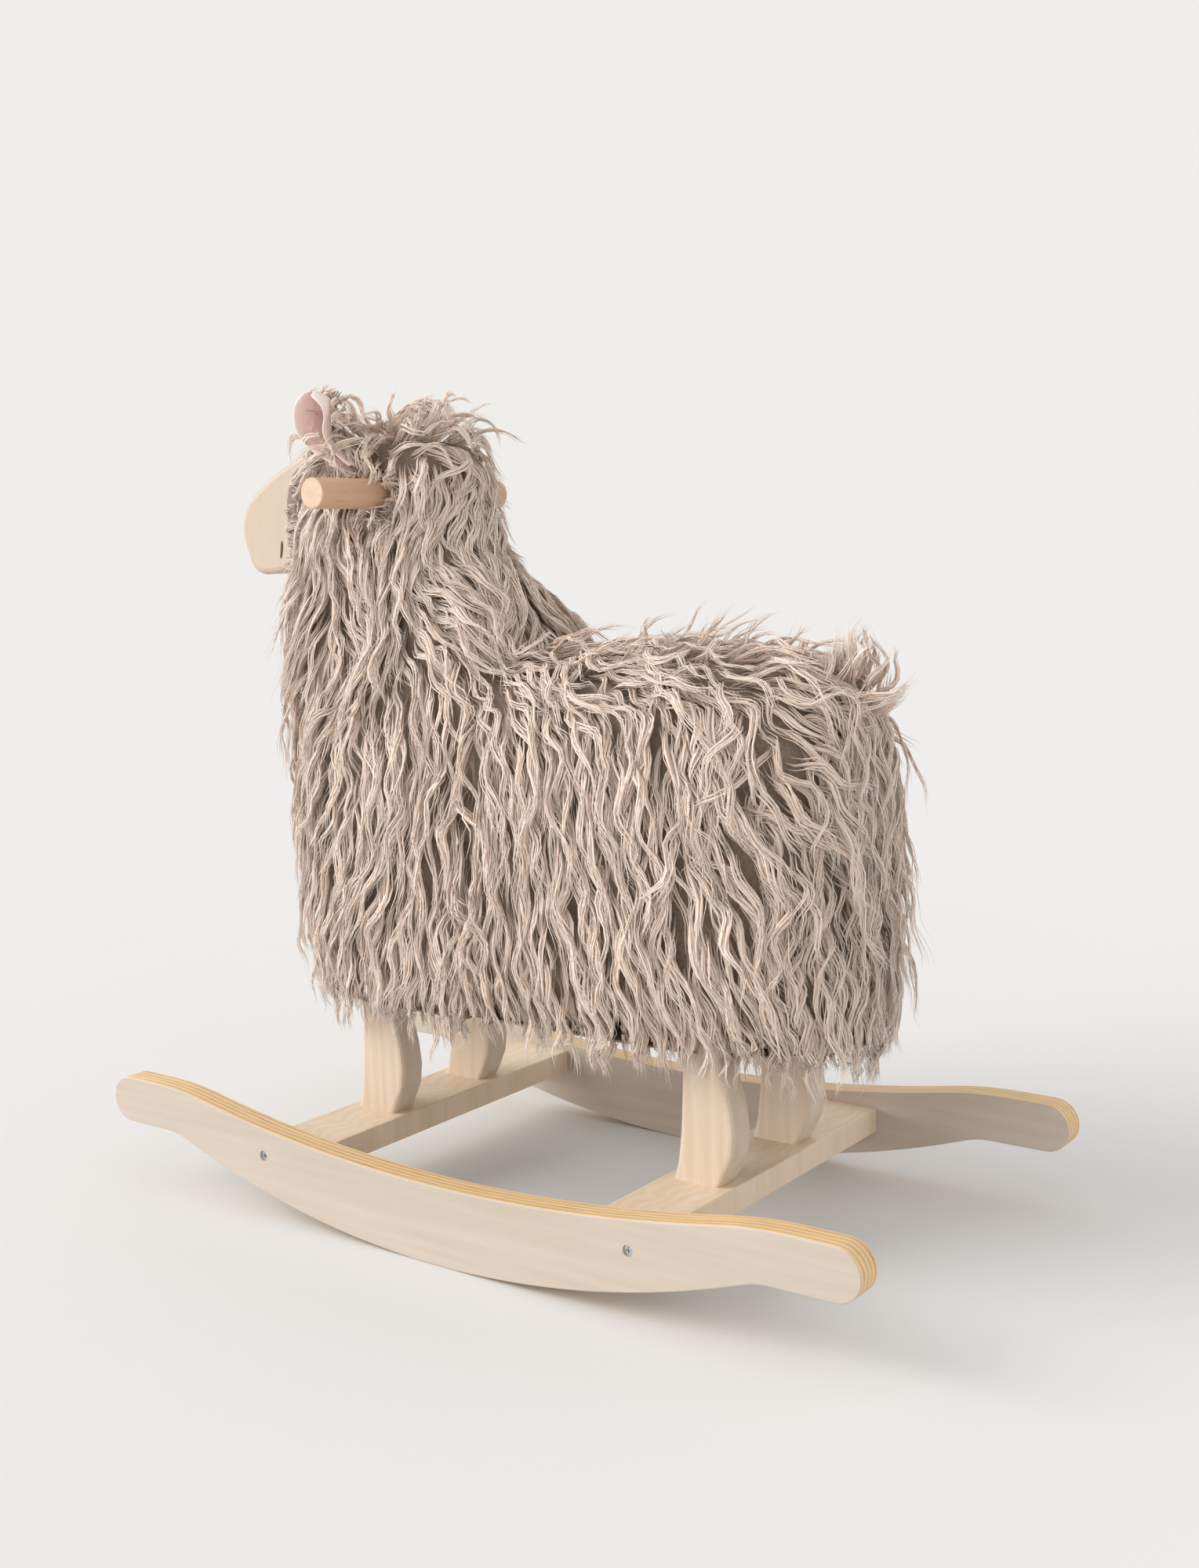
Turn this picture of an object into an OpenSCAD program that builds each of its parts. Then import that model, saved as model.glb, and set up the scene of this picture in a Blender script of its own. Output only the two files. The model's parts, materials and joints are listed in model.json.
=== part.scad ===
// Shaggy ride-on animal on plywood rockers.
// +X points towards the head, +Y to the animal's left, +Z up.
// The origin is on the floor, under the middle of the rockers.

/* [Rockers] */
// Length over the round tips
rocker_len = 670; // [600:5:740]
// Thickness of the plywood
rocker_t = 21; // [18:0.5:24]
// Width of the base over both rockers
base_w = 341; // [320:1:380]
// Height of a rocker at its middle
rocker_h = 57.6; // [57.6:0.1:64]
// Radius of the rolling edge
roll_r = 740; // [700:5:800]
// Radius of the hollow top edge
hollow_r = 1280; // [1200:10:1400]
// Height of the middle of each round tip
tip_z = 66; // [65:0.5:68]
// Diameter of each round tip
tip_d = 36; // [34:0.5:38]
// Radius where the top edge runs out to the tip
tip_top_blend = 300; // [200:10:340]
// Radius where the rolling edge turns to the tip
tip_low_blend = 60; // [40:5:80]
// Eased edge of the plywood
rocker_ease = 0.9; // [0.6:0.1:1.4]
// Length of the flat that a rocker rests on, at the middle of its rolling edge
rest_flat = 36; // [24:1:44]

/* [Cross boards] */
// Width of each board, along X
board_w = 56; // [52:1:64]
// Thickness of each board
board_t = 19; // [17:0.5:19]
// Distance of each board's middle from the origin
board_x = 150.5; // [145:0.5:156]
// Gap between a board's top and the rocker's top edge at the middle
board_drop = 0.6; // [0.4:0.1:1.5]
// Rounding of the board's long edges
board_round = 1.2; // [0.8:0.1:2]
// Distance of the rocker screw and dowel from the board's middle
joint_off = 16; // [14:0.5:18]

/* [Legs] */
// Thickness of each leg, along Y
leg_t = 24; // [22:0.5:28]
// Distance over the outer faces of a pair of legs
leg_span = 130; // [124:1:134]
// Length of each leg
leg_len = 303; // [290:1:312]
// Length of the foot on the board
foot_w = 38; // [36:0.5:42]
// How far the hock stands behind the leg's middle
hock_out = 31.5; // [29:0.5:33]
// Height of the hock above the board
hock_z = 38; // [34:1:44]
// Back of the straight upper part, forward of the hock
hock_step = 14; // [12:0.5:16]
// How much narrower the upper part's front is than the foot's
shin_step = 8; // [6:0.5:10]
// Rounding of the long edges
leg_round = 4; // [3:0.5:5]

/* [Body frame] */
// Thickness of the plywood seat board
seat_t = 15; // [12:0.5:18]
// Length of the seat board
seat_len = 380; // [375:5:400]
// Corner radius of the seat board
seat_corner = 32; // [20:1:40]
// Height of each bolster between the legs
bolster_h = 70; // [60:1:90]
// Thickness of each bolster, along X
bolster_t = 28; // [26:0.5:30]

/* [Neck and handle] */
// Thickness of the neck board
neck_t = 18; // [15:0.5:19]
// Distance of the handle's axis in front of the origin
handle_x = 151; // [148:0.5:154]
// Height of the handle's axis above the seat board
handle_rise = 163; // [159:0.5:166]
// Diameter of the handle
handle_d = 23; // [21:0.5:25]
// Length over both grips
handle_len = 215; // [205:1:230]
// Length of one grip
grip_len = 58.5; // [55:0.5:60]
// Step from the bar up to a grip
grip_step = 0.5; // [0.3:0.1:1]
// Diameter of the tenon on a grip
tenon_d = 10; // [8:0.5:12]
// Length of the tenon
tenon_len = 20; // [16:1:24]
// Section of the cleats at the neck board's foot
cleat = 18; // [15:1:20]
// Length of the cleats
cleat_len = 84; // [76:1:90]
// Radius of the neck board's round top and corners
neck_corner = 14; // [12:1:16]

/* [Face] */
// Thickness of the face block
face_t = 45; // [42:1:48]
// Radius of its rounded edges
face_round = 5; // [3:0.5:7]
// Depth of the slot that holds the neck board's tongue
tongue_len = 28; // [22:1:30]

/* [Coat and padding] */
// Half width of the coat at the flanks
coat_half_w = 110; // [105:1:114]
// Height of the back's padding over the seat board
back_pad = 29; // [25:1:32]
// Depth of the hem below the seat board
hem_drop = 215; // [205:1:220]
// Height of the padding's underside over the hem
belly_lift = 7; // [5:0.5:12]
// Depth of the pile with its backing
pile = 20; // [18:0.5:21]
// Gap between soft pieces and their neighbours
soft_gap = 0.3; // [0.2:0.05:0.4]
// Thickness of the chest's wadding
chest_pad = 10; // [8:0.5:14]
// Thickness of the belly cloth
cloth_t = 1.5; // [1:0.1:2]
// Depth of the seam between neck and head below the handle's axis
head_seam_drop = 32; // [26:1:36]

/* [Ears and tail] */
// Height of each ear
ear_h = 58; // [52:1:64]
// Width of each ear
ear_w = 46; // [42:1:50]
// Thickness of the plush back of an ear
ear_back_t = 9; // [7:0.5:10]
// Thickness of the felt lining
lining_t = 3; // [2:0.25:4]
// Length of the tail
tail_len = 74; // [66:1:80]
// Radius of the tail
tail_r = 17; // [14:0.5:19]

/* [Fasteners] */
// Shank diameter of the rocker screws
screw_d = 5; // [4.5:0.1:5.5]
// Head diameter of the rocker screws
screw_head_d = 7.6; // [7.2:0.1:8]
// Diameter of the counterbore round a rocker screw's head
counterbore_d = 8; // [8:0.1:9]
// Depth of the head below the rocker's face
head_sink = 1.4; // [1:0.1:2]
// Diameter of the beech dowels
dowel_d = 8; // [7:0.1:8.5]
// Shank diameter of the wood screws
wood_screw_d = 4; // [3.5:0.1:4.5]

/* [Hidden] */
$fn = 48;
eps = 0.01;
sides = [1, -1];

ply_color = "#e8d3b0";
pine_color = "#ecd2a2";
beech_color = "#d9b48c";
zinc_color = "#a9adb0";
foam_color = "#e9e2c8";
coat_color = "#b5a898";
felt_color = "#edc9bd";
cloth_color = "#9b9184";

// Levels of the wooden frame
inner_w = base_w - 2 * rocker_t;
board_top = rocker_h - board_drop;
board_mid_z = board_top - board_t / 2;
leg_y = leg_span / 2 - leg_t / 2;
leg_inner = leg_span / 2 - leg_t;
seat_low = board_top + leg_len;
seat_top = seat_low + seat_t;
handle_z = seat_top + handle_rise;
back_z = seat_top + back_pad + pile;
hem_z = seat_low - hem_drop;
belly_z = hem_z + belly_lift;
head_seam_z = handle_z - head_seam_drop;
// Longer than the part, for tools that cut right through
through = 2 * rocker_len;
run_out = 10;

// Leg section at heights over the board: its back and front edges, as seen from the side
shin_back = hock_step - hock_out;
shin_front = foot_w / 2 - shin_step;
leg_shape = [
    [0, -foot_w / 2, foot_w / 2], [6, -foot_w / 2 - 3.5, foot_w / 2 - 1.6],
    [hock_z / 3, -foot_w / 2 - 6.5, foot_w / 2 - 3.2], [0.6 * hock_z, 1.5 - hock_out, foot_w / 2 - 4.7],
    [hock_z, -hock_out, foot_w / 2 - 6.2], [1.45 * hock_z, 2.2 - hock_out, shin_front + 1],
    [1.9 * hock_z, shin_back - 7, shin_front + 0.4], [2.4 * hock_z, shin_back - 2, shin_front],
    [3 * hock_z, shin_back, shin_front], [leg_len, shin_back, shin_front]
];
leg_top_mid = (shin_back + shin_front) / 2;

// Rocker outline: where the blends meet the long arcs and the round tip
tip_r = tip_d / 2;
tip_x = rocker_len / 2 - tip_r;
top_rise = tip_z + tip_r - rocker_h;
low_rise = tip_z - tip_r;
top_blend_x = sqrt(2 * top_rise * (hollow_r + tip_top_blend) - top_rise * top_rise);
top_blend_a = asin(top_blend_x / (hollow_r + tip_top_blend));
low_blend_x = sqrt(low_rise * (2 * roll_r + 2 * tip_low_blend - low_rise));
low_blend_a = asin(low_blend_x / (roll_r + tip_low_blend));

// Screw and dowel sizes that follow the boards
screw_len = 62;
screw_head_t = 3.2;
dowel_in_rocker = 12;
dowel_in_board = 28;
wood_head_d = 2 * wood_screw_d;
wood_head_t = 0.55 * wood_screw_d;
foot_screw_len = board_t + 36;
bolster_screw_len = leg_t + 26;
seat_screw_len = seat_t + 30;
cleat_screw_len = cleat + neck_t;
cleat_mid = handle_x - 6;
core_half = handle_len / 2 - grip_len;
bar_d = handle_d - 2 * grip_step;

// Neck board and face block, as circles that their outlines wrap
// The face reaches this far forward of the handle, and is this long behind its nose
nose_reach = 167;
face_len = 96;
face_back = handle_x + nose_reach - face_len;
neck_top = handle_z + 2 * neck_corner;
neck_foot_r = 10;
neck_foot = [[cleat_mid - 45, seat_top + neck_foot_r, neck_foot_r],
             [cleat_mid + 45, seat_top + neck_foot_r, neck_foot_r]];
neck_head = [[handle_x - 23, neck_top - neck_corner, neck_corner],
             [face_back - neck_corner, neck_top - neck_corner, neck_corner],
             [face_back - neck_corner, handle_z - 40, neck_corner]];
handle_screw_len = neck_top - handle_z + 6;
face_screw_len = face_t - 6;
// The face's outline runs round five circles: nose, lip, brow, forehead and throat
nose_r = 36;
lip_r = 18.5;
brow_r = 35;
forehead_r = 15;
throat_r = 12;
face_circles = [
    [handle_x + nose_reach - nose_r, handle_z - 25, nose_r],
    [handle_x + nose_reach - 24, handle_z - 43, lip_r],
    [handle_x + nose_reach - 56, handle_z - 11, brow_r],
    [face_back + forehead_r, handle_z + 22, forehead_r],
    [face_back + throat_r, handle_z - 34.3, throat_r]
];
tongue_low = handle_z - 36;
tongue_high = handle_z + 4;

// Coat: the body runs from the rump to the shoulder seam, and the front column from there
// stands up into chest, neck and head
rump_x = -256;
shoulder_x = 20;
body_mid_x = -12;
body_half_len = body_mid_x - rump_x;
// The body is widest this far below its back
widest_drop = 124;
body_mid_z = back_z - widest_drop;
// Front column at each height: [height, back, front, half width, squareness of the back]
column = [
    [hem_z, shoulder_x, 215, coat_half_w - 10, 0.15], [hem_z + 60, shoulder_x, 226, coat_half_w - 3, 0.15],
    [body_mid_z, shoulder_x, 232, coat_half_w - 2, 0.15], [seat_low, shoulder_x, 243, coat_half_w - 9, 0.15],
    [back_z - 24, shoulder_x, 253, coat_half_w - 24, 0.2], [back_z + 6, shoulder_x + 2, 258, 73, 0.4],
    [back_z + 35, 33, 262, 63, 0.7], [handle_z - 38, 62, 268, 53, 0.8], [handle_z, 71, 272, 46, 0.8],
    [handle_z + 24, 76, 262, 45, 0.8], [handle_z + 40, 88, 238, 40, 0.8], [handle_z + 50, 112, 205, 26, 0.8]
];
crown_z = column[len(column) - 1][0];
cavity_half_w = leg_span / 2 + soft_gap;
cavity_half_len = seat_len / 2 + soft_gap;
cloth_inset = pile + 16;

// Ears: where the felt's foot meets the head's rounded side, and the lean outwards
ear_lean = 24;
ear_tuck = 1.25;
ear_foot_z = handle_z + 27;
ear_foot = [handle_x + 32,
    column_at(ear_foot_z, 3) + ear_back_t * cos(ear_lean) + soft_gap - ear_tuck, ear_foot_z];
// An ear's outline, foot at the origin, in its own X-Z plane
ear_circles = [[0, ear_h - ear_w / 2, ear_w / 2], [0, 9, 9], [2, ear_h / 2.4, ear_w / 2.3]];
tail_foot = [rump_x + 8, 0, back_z - 52];
tail_lean = 38;

// ---- Shared shapes ----

// Points of an arc about c, from angle a0 to a1, in n steps
function arc(c, r, a0, a1, n) =
    [for (i = [0 : n]) let (a = a0 + (a1 - a0) * i / n) c + r * [cos(a), sin(a)]];

// A rectangle w by h about the origin, with rounded corners
function round_rect(w, h, r, n = 4) = concat(
    arc([w / 2 - r, h / 2 - r], r, 0, 90, n), arc([r - w / 2, h / 2 - r], r, 90, 180, n),
    arc([r - w / 2, r - h / 2], r, 180, 270, n), arc([w / 2 - r, r - h / 2], r, 270, 360, n));

// The circle of a list that reaches furthest along the unit vector d
function furthest(circles, d) =
    let (reach = [for (c = circles) c[0] * d[0] + c[1] * d[1] + c[2]], top = max(reach))
    [for (i = [0 : len(circles) - 1]) if (reach[i] == top) circles[i]][0];

// A taut outline round circles [x, z, r], drawn in by inset
function wrapped(circles, inset = 0, n = 72) =
    [for (i = [0 : n - 1])
        let (a = 360 * (i + 0.5) / n, d = [cos(a), sin(a)], c = furthest(circles, d))
        [c[0], c[1]] + (c[2] - inset) * d];

// A closed solid through rings of equal length, each turning anticlockwise seen from the last ring.
// A hollow-sided ring needs its end face in pieces, given in cap by the numbers of their corners.
module loft(rings, cap = []) {
    n = len(rings[0]);
    m = len(rings);
    ends = len(cap) > 0 ? cap : [[for (i = [0 : n - 1]) i]];
    polyhedron(
        points = [for (ring = rings) for (p = ring) p],
        faces = concat(
            ends,
            [for (k = [0 : m - 2]) for (i = [0 : n - 1]) let (j = (i + 1) % n)
                each [[k * n + i, (k + 1) * n + i, (k + 1) * n + j], [k * n + i, (k + 1) * n + j, k * n + j]]],
            [for (f = ends) [for (i = [len(f) - 1 : -1 : 0]) (m - 1) * n + f[i]]]));
}

// Stands a flat X-Z outline up as a plate from y0 to y1
module plate(y0, y1) {
    translate([0, y1, 0]) rotate([90, 0, 0]) linear_extrude(y1 - y0) children();
}

module along_y(x, z, y0, y1, d) {
    translate([x, y1, z]) rotate([90, 0, 0]) cylinder(d = d, h = y1 - y0);
}

// A countersunk screw with its head's face at the origin, pointing down
module wood_screw(length) {
    color(zinc_color) {
        translate([0, 0, -wood_head_t]) cylinder(d1 = wood_screw_d, d2 = wood_head_d, h = wood_head_t);
        translate([0, 0, 3 - length]) cylinder(d = wood_screw_d, h = length - 3 - wood_head_t + eps);
        translate([0, 0, -length]) cylinder(d1 = 0.6, d2 = wood_screw_d, h = 3);
    }
}

// ---- Base ----

// Half of the rocker's outline, drawn in by inset, from the end of its flat to the top. It takes
// as many steps from the tip to the top as it does from the flat to the tip.
flat_a = asin(rest_flat / 2 / roll_r);
roll_steps = 12;
blend_steps = 4;
tip_steps = 14;
function rocker_half(inset) = concat(
    [[rest_flat / 2, inset]],
    arc([0, roll_r], roll_r - inset, -90 + 2 * flat_a, -90 + low_blend_a, roll_steps),
    arc([low_blend_x, low_rise - tip_low_blend], tip_low_blend + inset, 90 + low_blend_a, 90,
        blend_steps),
    arc([tip_x, tip_z], tip_r - inset, -90, 90, tip_steps),
    arc([top_blend_x, tip_z + tip_r - tip_top_blend], tip_top_blend - inset,
        90, 90 + top_blend_a, blend_steps + 2),
    arc([0, rocker_h + hollow_r], hollow_r + inset, -90 + top_blend_a, -90, roll_steps - 1));

// The whole outline, without doubled points where the arcs and halves meet
function rocker_outline(inset) =
    let (half = rocker_half(inset), n = len(half),
        tidy = [for (i = [0 : n - 1]) if (i == 0 || norm(half[i] - half[i - 1]) > 0.2) half[i]],
        m = len(tidy))
    concat(tidy, [for (i = [m - 2 : -1 : 0]) [-tidy[i][0], tidy[i][1]]]);

// The rocker's hollow-sided face in pieces: strips from the run below each tip to the run above
// it, one piece over each tip, and one in the middle
function rocker_cap() =
    let (n = len(rocker_outline(0)), top = (n - 1) / 2, tip = roll_steps + blend_steps + 2)
    concat(
        [for (i = [0 : tip - 1]) [i, i + 1, top - i - 1, top - i]],
        [for (i = [0 : tip - 1]) [top + i, top + i + 1, n - 2 - i, n - 1 - i]],
        [[for (i = [tip : top - tip]) i], [for (i = [n - 1 - top + tip : n - 1 - tip]) i]],
        [[0, top, n - 1]]);

module rocker(side) {
    outer = side * base_w / 2;
    inner = side * inner_w / 2;
    edge = [[0, 1], [0.3, 0.35], [1, 0]];
    steps = [
        for (e = edge) [inner + side * rocker_ease * e[0], rocker_ease * e[1]],
        for (i = [2 : -1 : 0]) [outer - side * rocker_ease * edge[i][0], rocker_ease * edge[i][1]]
    ];
    ordered = side < 0 ? steps : [for (i = [len(steps) - 1 : -1 : 0]) steps[i]];
    color(ply_color) difference() {
        loft([for (s = ordered) [for (p = rocker_outline(s[1])) [p[0], s[0], p[1]]]], rocker_cap());
        for (e = sides) {
            screw_x = e * (board_x + joint_off);
            dowel_x = e * (board_x - joint_off);
            along_y(screw_x, board_mid_z, -base_w, base_w, screw_d);
            along_y(screw_x, board_mid_z, min(outer, outer - side * (head_sink + screw_head_t)),
                max(outer, outer - side * (head_sink + screw_head_t)), counterbore_d);
            along_y(dowel_x, board_mid_z, min(inner, inner + side * dowel_in_rocker),
                max(inner, inner + side * dowel_in_rocker), dowel_d);
        }
    }
}

module rocker_left() { rocker(1); }
module rocker_right() { rocker(-1); }

module cross_board(end) {
    color(pine_color) difference() {
        translate([end * board_x, inner_w / 2, board_mid_z]) rotate([90, 0, 0])
            linear_extrude(inner_w) polygon(round_rect(board_w, board_t, board_round));
        for (s = sides) {
            screw_tip = base_w / 2 - head_sink - screw_len;
            along_y(end * (board_x + joint_off), board_mid_z, min(s * screw_tip, s * base_w),
                max(s * screw_tip, s * base_w), screw_d);
            dowel_tip = inner_w / 2 - dowel_in_board;
            along_y(end * (board_x - joint_off), board_mid_z, min(s * dowel_tip, s * base_w),
                max(s * dowel_tip, s * base_w), dowel_d);
            for (t = sides) translate([end * board_x + t * foot_w / 4, s * leg_y, board_top - board_t])
                foot_screw_hole();
        }
    }
}

module front_cross_board() { cross_board(1); }
module rear_cross_board() { cross_board(-1); }

module rocker_screws() {
    for (e = sides, s = sides)
        translate([e * (board_x + joint_off), s * (base_w / 2 - head_sink), board_mid_z])
            rotate([-90 * s, 0, 0]) rocker_screw();
}

// A pan-head screw with a cross recess, its head's face at the origin, pointing down
module rocker_screw() {
    color(zinc_color) difference() {
        union() {
            translate([0, 0, -screw_head_t]) cylinder(d = screw_head_d, h = screw_head_t);
            translate([0, 0, 4 - screw_len]) cylinder(d = screw_d, h = screw_len - 4 - screw_head_t + eps);
            translate([0, 0, -screw_len]) cylinder(d1 = 0.8, d2 = screw_d, h = 4);
        }
        for (a = [0, 90]) rotate([0, 0, a]) translate([-2, -0.45, -1.6]) cube([4, 0.9, 2]);
    }
}

module rocker_dowels() {
    color(beech_color)
    for (e = sides, s = sides)
        along_y(e * (board_x - joint_off), board_mid_z,
            min(s * (inner_w / 2 - dowel_in_board), s * (inner_w / 2 + dowel_in_rocker)),
            max(s * (inner_w / 2 - dowel_in_board), s * (inner_w / 2 + dowel_in_rocker)), dowel_d);
}

// ---- Legs ----

module leg(end, side) {
    rings = [for (s = leg_shape)
        [for (p = round_rect(s[2] - s[1], leg_t, leg_round, 3))
            [end * board_x + (s[1] + s[2]) / 2 + p[0], side * leg_y + p[1], board_top + s[0]]]];
    color(pine_color) difference() {
        loft(rings);
        for (t = sides) translate([end * board_x + t * foot_w / 4, side * leg_y, board_top - board_t])
            foot_screw_hole();
        bolster_screw_holes(end);
    }
}

module front_left_leg() { leg(1, 1); }
module front_right_leg() { leg(1, -1); }
module rear_left_leg() { leg(-1, 1); }
module rear_right_leg() { leg(-1, -1); }

// The hole of a foot screw, from the underside of a board upwards
module foot_screw_hole() {
    rotate([180, 0, 0]) wood_screw(foot_screw_len);
    translate([0, 0, -1]) cylinder(d = wood_head_d, h = 1 + eps);
}

module foot_screws() {
    for (e = sides, s = sides, t = sides)
        translate([e * board_x + t * foot_w / 4, s * leg_y, board_top - board_t])
            rotate([180, 0, 0]) wood_screw(foot_screw_len);
}

// ---- Body frame ----

module bolster(end) {
    color(pine_color) difference() {
        translate([end * board_x + leg_top_mid - bolster_t / 2, -leg_inner, seat_low - bolster_h])
            cube([bolster_t, 2 * leg_inner, bolster_h]);
        bolster_screw_holes(end);
        seat_screw_holes(end);
    }
}

module front_bolster() { bolster(1); }
module rear_bolster() { bolster(-1); }

// Two screws a leg, one above the other, driven in from the leg's outer face
module at_bolster_screws(end) {
    for (s = sides, z = [0.28, 0.72])
        translate([end * board_x + leg_top_mid, s * leg_span / 2, seat_low - z * bolster_h])
            rotate([-90 * s, 0, 0]) children();
}

module bolster_screw_holes(end) {
    at_bolster_screws(end) {
        wood_screw(bolster_screw_len);
        translate([0, 0, -eps]) cylinder(d = wood_head_d, h = 1);
    }
}

module bolster_screws() {
    for (e = sides) at_bolster_screws(e) wood_screw(bolster_screw_len);
}

module at_seat_screws(end) {
    for (s = sides)
        translate([end * board_x + leg_top_mid + bolster_t / 4, s * leg_inner / 2, seat_top]) children();
}

module seat_screw_holes(end) {
    at_seat_screws(end) {
        wood_screw(seat_screw_len);
        translate([0, 0, -eps]) cylinder(d = wood_head_d, h = 1);
    }
}

module seat_screws() {
    for (e = sides) at_seat_screws(e) wood_screw(seat_screw_len);
}

module seat_board() {
    color(ply_color) difference() {
        translate([0, 0, seat_low]) linear_extrude(seat_t)
            polygon(round_rect(seat_len, leg_span, seat_corner, 8));
        for (e = sides) seat_screw_holes(e);
    }
}

// ---- Neck and handle ----

module neck_outline() {
    polygon(wrapped(concat(neck_foot, neck_head)));
    translate([face_back - neck_corner, tongue_low])
        square([neck_corner + tongue_len, tongue_high - tongue_low]);
}

module neck_board() {
    color(ply_color) difference() {
        plate(-neck_t / 2, neck_t / 2) neck_outline();
        along_y(handle_x, handle_z, -neck_t, neck_t, bar_d);
        handle_screw_hole();
        cleat_screw_holes();
        face_screw_holes();
    }
}

module neck_cleat(side) {
    low = side > 0 ? neck_t / 2 : -neck_t / 2 - cleat;
    color(pine_color) difference() {
        translate([cleat_mid - cleat_len / 2, low, seat_top]) cube([cleat_len, cleat, cleat]);
        cleat_screw_holes();
    }
}

module neck_cleat_left() { neck_cleat(1); }
module neck_cleat_right() { neck_cleat(-1); }

// Screws through each cleat into the neck board, staggered so that they pass each other
module at_cleat_screws() {
    for (s = sides, t = sides)
        translate([cleat_mid + t * cleat_len / 4 + s * 6, s * (neck_t / 2 + cleat),
            seat_top + cleat / 2]) rotate([-90 * s, 0, 0]) children();
}

module cleat_screw_holes() {
    at_cleat_screws() {
        wood_screw(cleat_screw_len);
        translate([0, 0, -eps]) cylinder(d = wood_head_d, h = 1);
    }
}

module cleat_screws() { at_cleat_screws() wood_screw(cleat_screw_len); }

module handle_bar() {
    color(beech_color) difference() {
        along_y(handle_x, handle_z, -core_half, core_half, bar_d);
        for (s = sides) along_y(handle_x, handle_z, s > 0 ? core_half - tenon_len : -core_half - eps,
            s > 0 ? core_half + eps : tenon_len - core_half, tenon_d);
        handle_screw_hole();
    }
}

// A turned grip with its outer edge broken, and a tenon that goes into the bar
module handle_grip(side) {
    break_edge = 1;
    color(beech_color)
    translate([handle_x, side * core_half, handle_z]) rotate([-90 * side, 0, 0]) rotate_extrude()
        polygon([
            [0, -tenon_len], [tenon_d / 2, -tenon_len], [tenon_d / 2, 0], [handle_d / 2, 0],
            [handle_d / 2, grip_len - break_edge], [handle_d / 2 - 0.3 * break_edge, grip_len - 0.3 * break_edge],
            [handle_d / 2 - break_edge, grip_len], [0, grip_len]
        ]);
}

module handle_grip_left() { handle_grip(1); }
module handle_grip_right() { handle_grip(-1); }

// Holds the bar in the neck board, driven down from its top edge
module handle_screw() {
    translate([handle_x, 0, neck_top]) wood_screw(handle_screw_len);
}

module handle_screw_hole() {
    handle_screw();
    translate([handle_x, 0, neck_top - eps]) cylinder(d = wood_head_d, h = 1);
}

// ---- Face ----

// Rings of the face block: edges rounded by a quarter circle on each side
function face_ring(y, inset) = [for (p = wrapped(face_circles, inset)) [p[0], y, p[1]]];

function face_rings() =
    let (steps = [0, 30, 60, 90], half = face_t / 2)
    concat(
        [for (a = steps) face_ring(half - face_round * (1 - cos(a)), face_round * (1 - sin(a)))],
        [for (i = [3 : -1 : 0])
            face_ring(face_round * (1 - cos(steps[i])) - half, face_round * (1 - sin(steps[i])))]);

module face_block() {
    color(pine_color) difference() {
        loft(face_rings());
        plate(-neck_t / 2, neck_t / 2) translate([face_back - 1, tongue_low])
            square([tongue_len + 1, tongue_high - tongue_low]);
        face_screw_holes();
    }
}

// Two screws through the left cheek, the tongue and into the right cheek
module at_face_screws() {
    for (z = [0.25, 0.75])
        translate([face_back + tongue_len / 2, face_t / 2, tongue_low + z * (tongue_high - tongue_low)])
            rotate([-90, 0, 0]) children();
}

module face_screw_holes() {
    at_face_screws() {
        wood_screw(face_screw_len);
        translate([0, 0, -eps]) cylinder(d = wood_head_d, h = 1);
    }
}

module face_screws() { at_face_screws() wood_screw(face_screw_len); }

// ---- Coat and padding ----

// Signed power, for rounded-square sections
function spow(v, e) = sign(v) * pow(abs(v), e);

// Upright section of the body at u from -1 (rump) to 0 (widest), drawn in by inset
function body_ring(x, inset, low, n = 32) =
    let (u = min(0, (x - body_mid_x) / (body_half_len - inset)),
        fall = pow(1 - pow(abs(u), 3), 1 / 3), drop = pow(1 - pow(abs(u), 5), 1 / 5),
        w = (coat_half_w - inset) * fall, top = (back_z - inset - body_mid_z) * drop)
    [for (i = [0 : n - 1]) let (a = 360 * (i + 0.5) / n, low_half = sin(a) < 0)
        [x, w * spow(cos(a), low_half ? 0.5 : 0.8),
            body_mid_z + (low_half ? (body_mid_z - low) * spow(sin(a), 0.4) : top * spow(sin(a), 0.8))]];

// The body from the rump forwards to x = front
module body_form(inset, low, front) {
    steps = 12;
    loft([
        for (k = [0 : steps - 1])
            body_ring(body_mid_x - (body_half_len - inset) * cos(4 + 86 * k / (steps - 1)), inset, low),
        body_ring(front, inset, low)
    ]);
}

function column_at(z, i) = lookup(z, [for (s = column) [s[0], s[i]]]);

// Level section of the front column at height z, drawn in by inset
function column_ring(z, inset, n = 28) =
    let (at = min(z + inset, crown_z), seated = z < back_z - inset,
        back = seated ? shoulder_x + (inset > 0 ? -1 : 0) : column_at(at, 1) + inset,
        front = column_at(at, 2) - inset, b = column_at(at, 3) - inset,
        mid = max(back + 60, (column_at(at, 1) + front) / 2), square_back = column_at(at, 4))
    [for (i = [0 : n - 1]) let (t = 360 * (i + 0.5) / n, fore = cos(t) > 0)
        [mid + (fore ? front - mid : mid - back) * spow(cos(t), fore ? 0.8 : square_back),
            b * spow(sin(t), fore ? 0.8 : square_back), z]];

// The front column between two heights; shift moves a square back on the shoulder seam
module column_form(low, high, inset) {
    inner = [for (s = column) s[0] - inset];
    levels = [low, for (z = inner) if (z > low + 4 && z < high - 4) z, high];
    loft([for (z = levels) column_ring(z, inset)]);
}

module body_coat() {
    color(coat_color) difference() {
        body_form(0, hem_z, shoulder_x - soft_gap);
        body_form(pile, hem_z - 20, shoulder_x + 10);
    }
}

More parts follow.
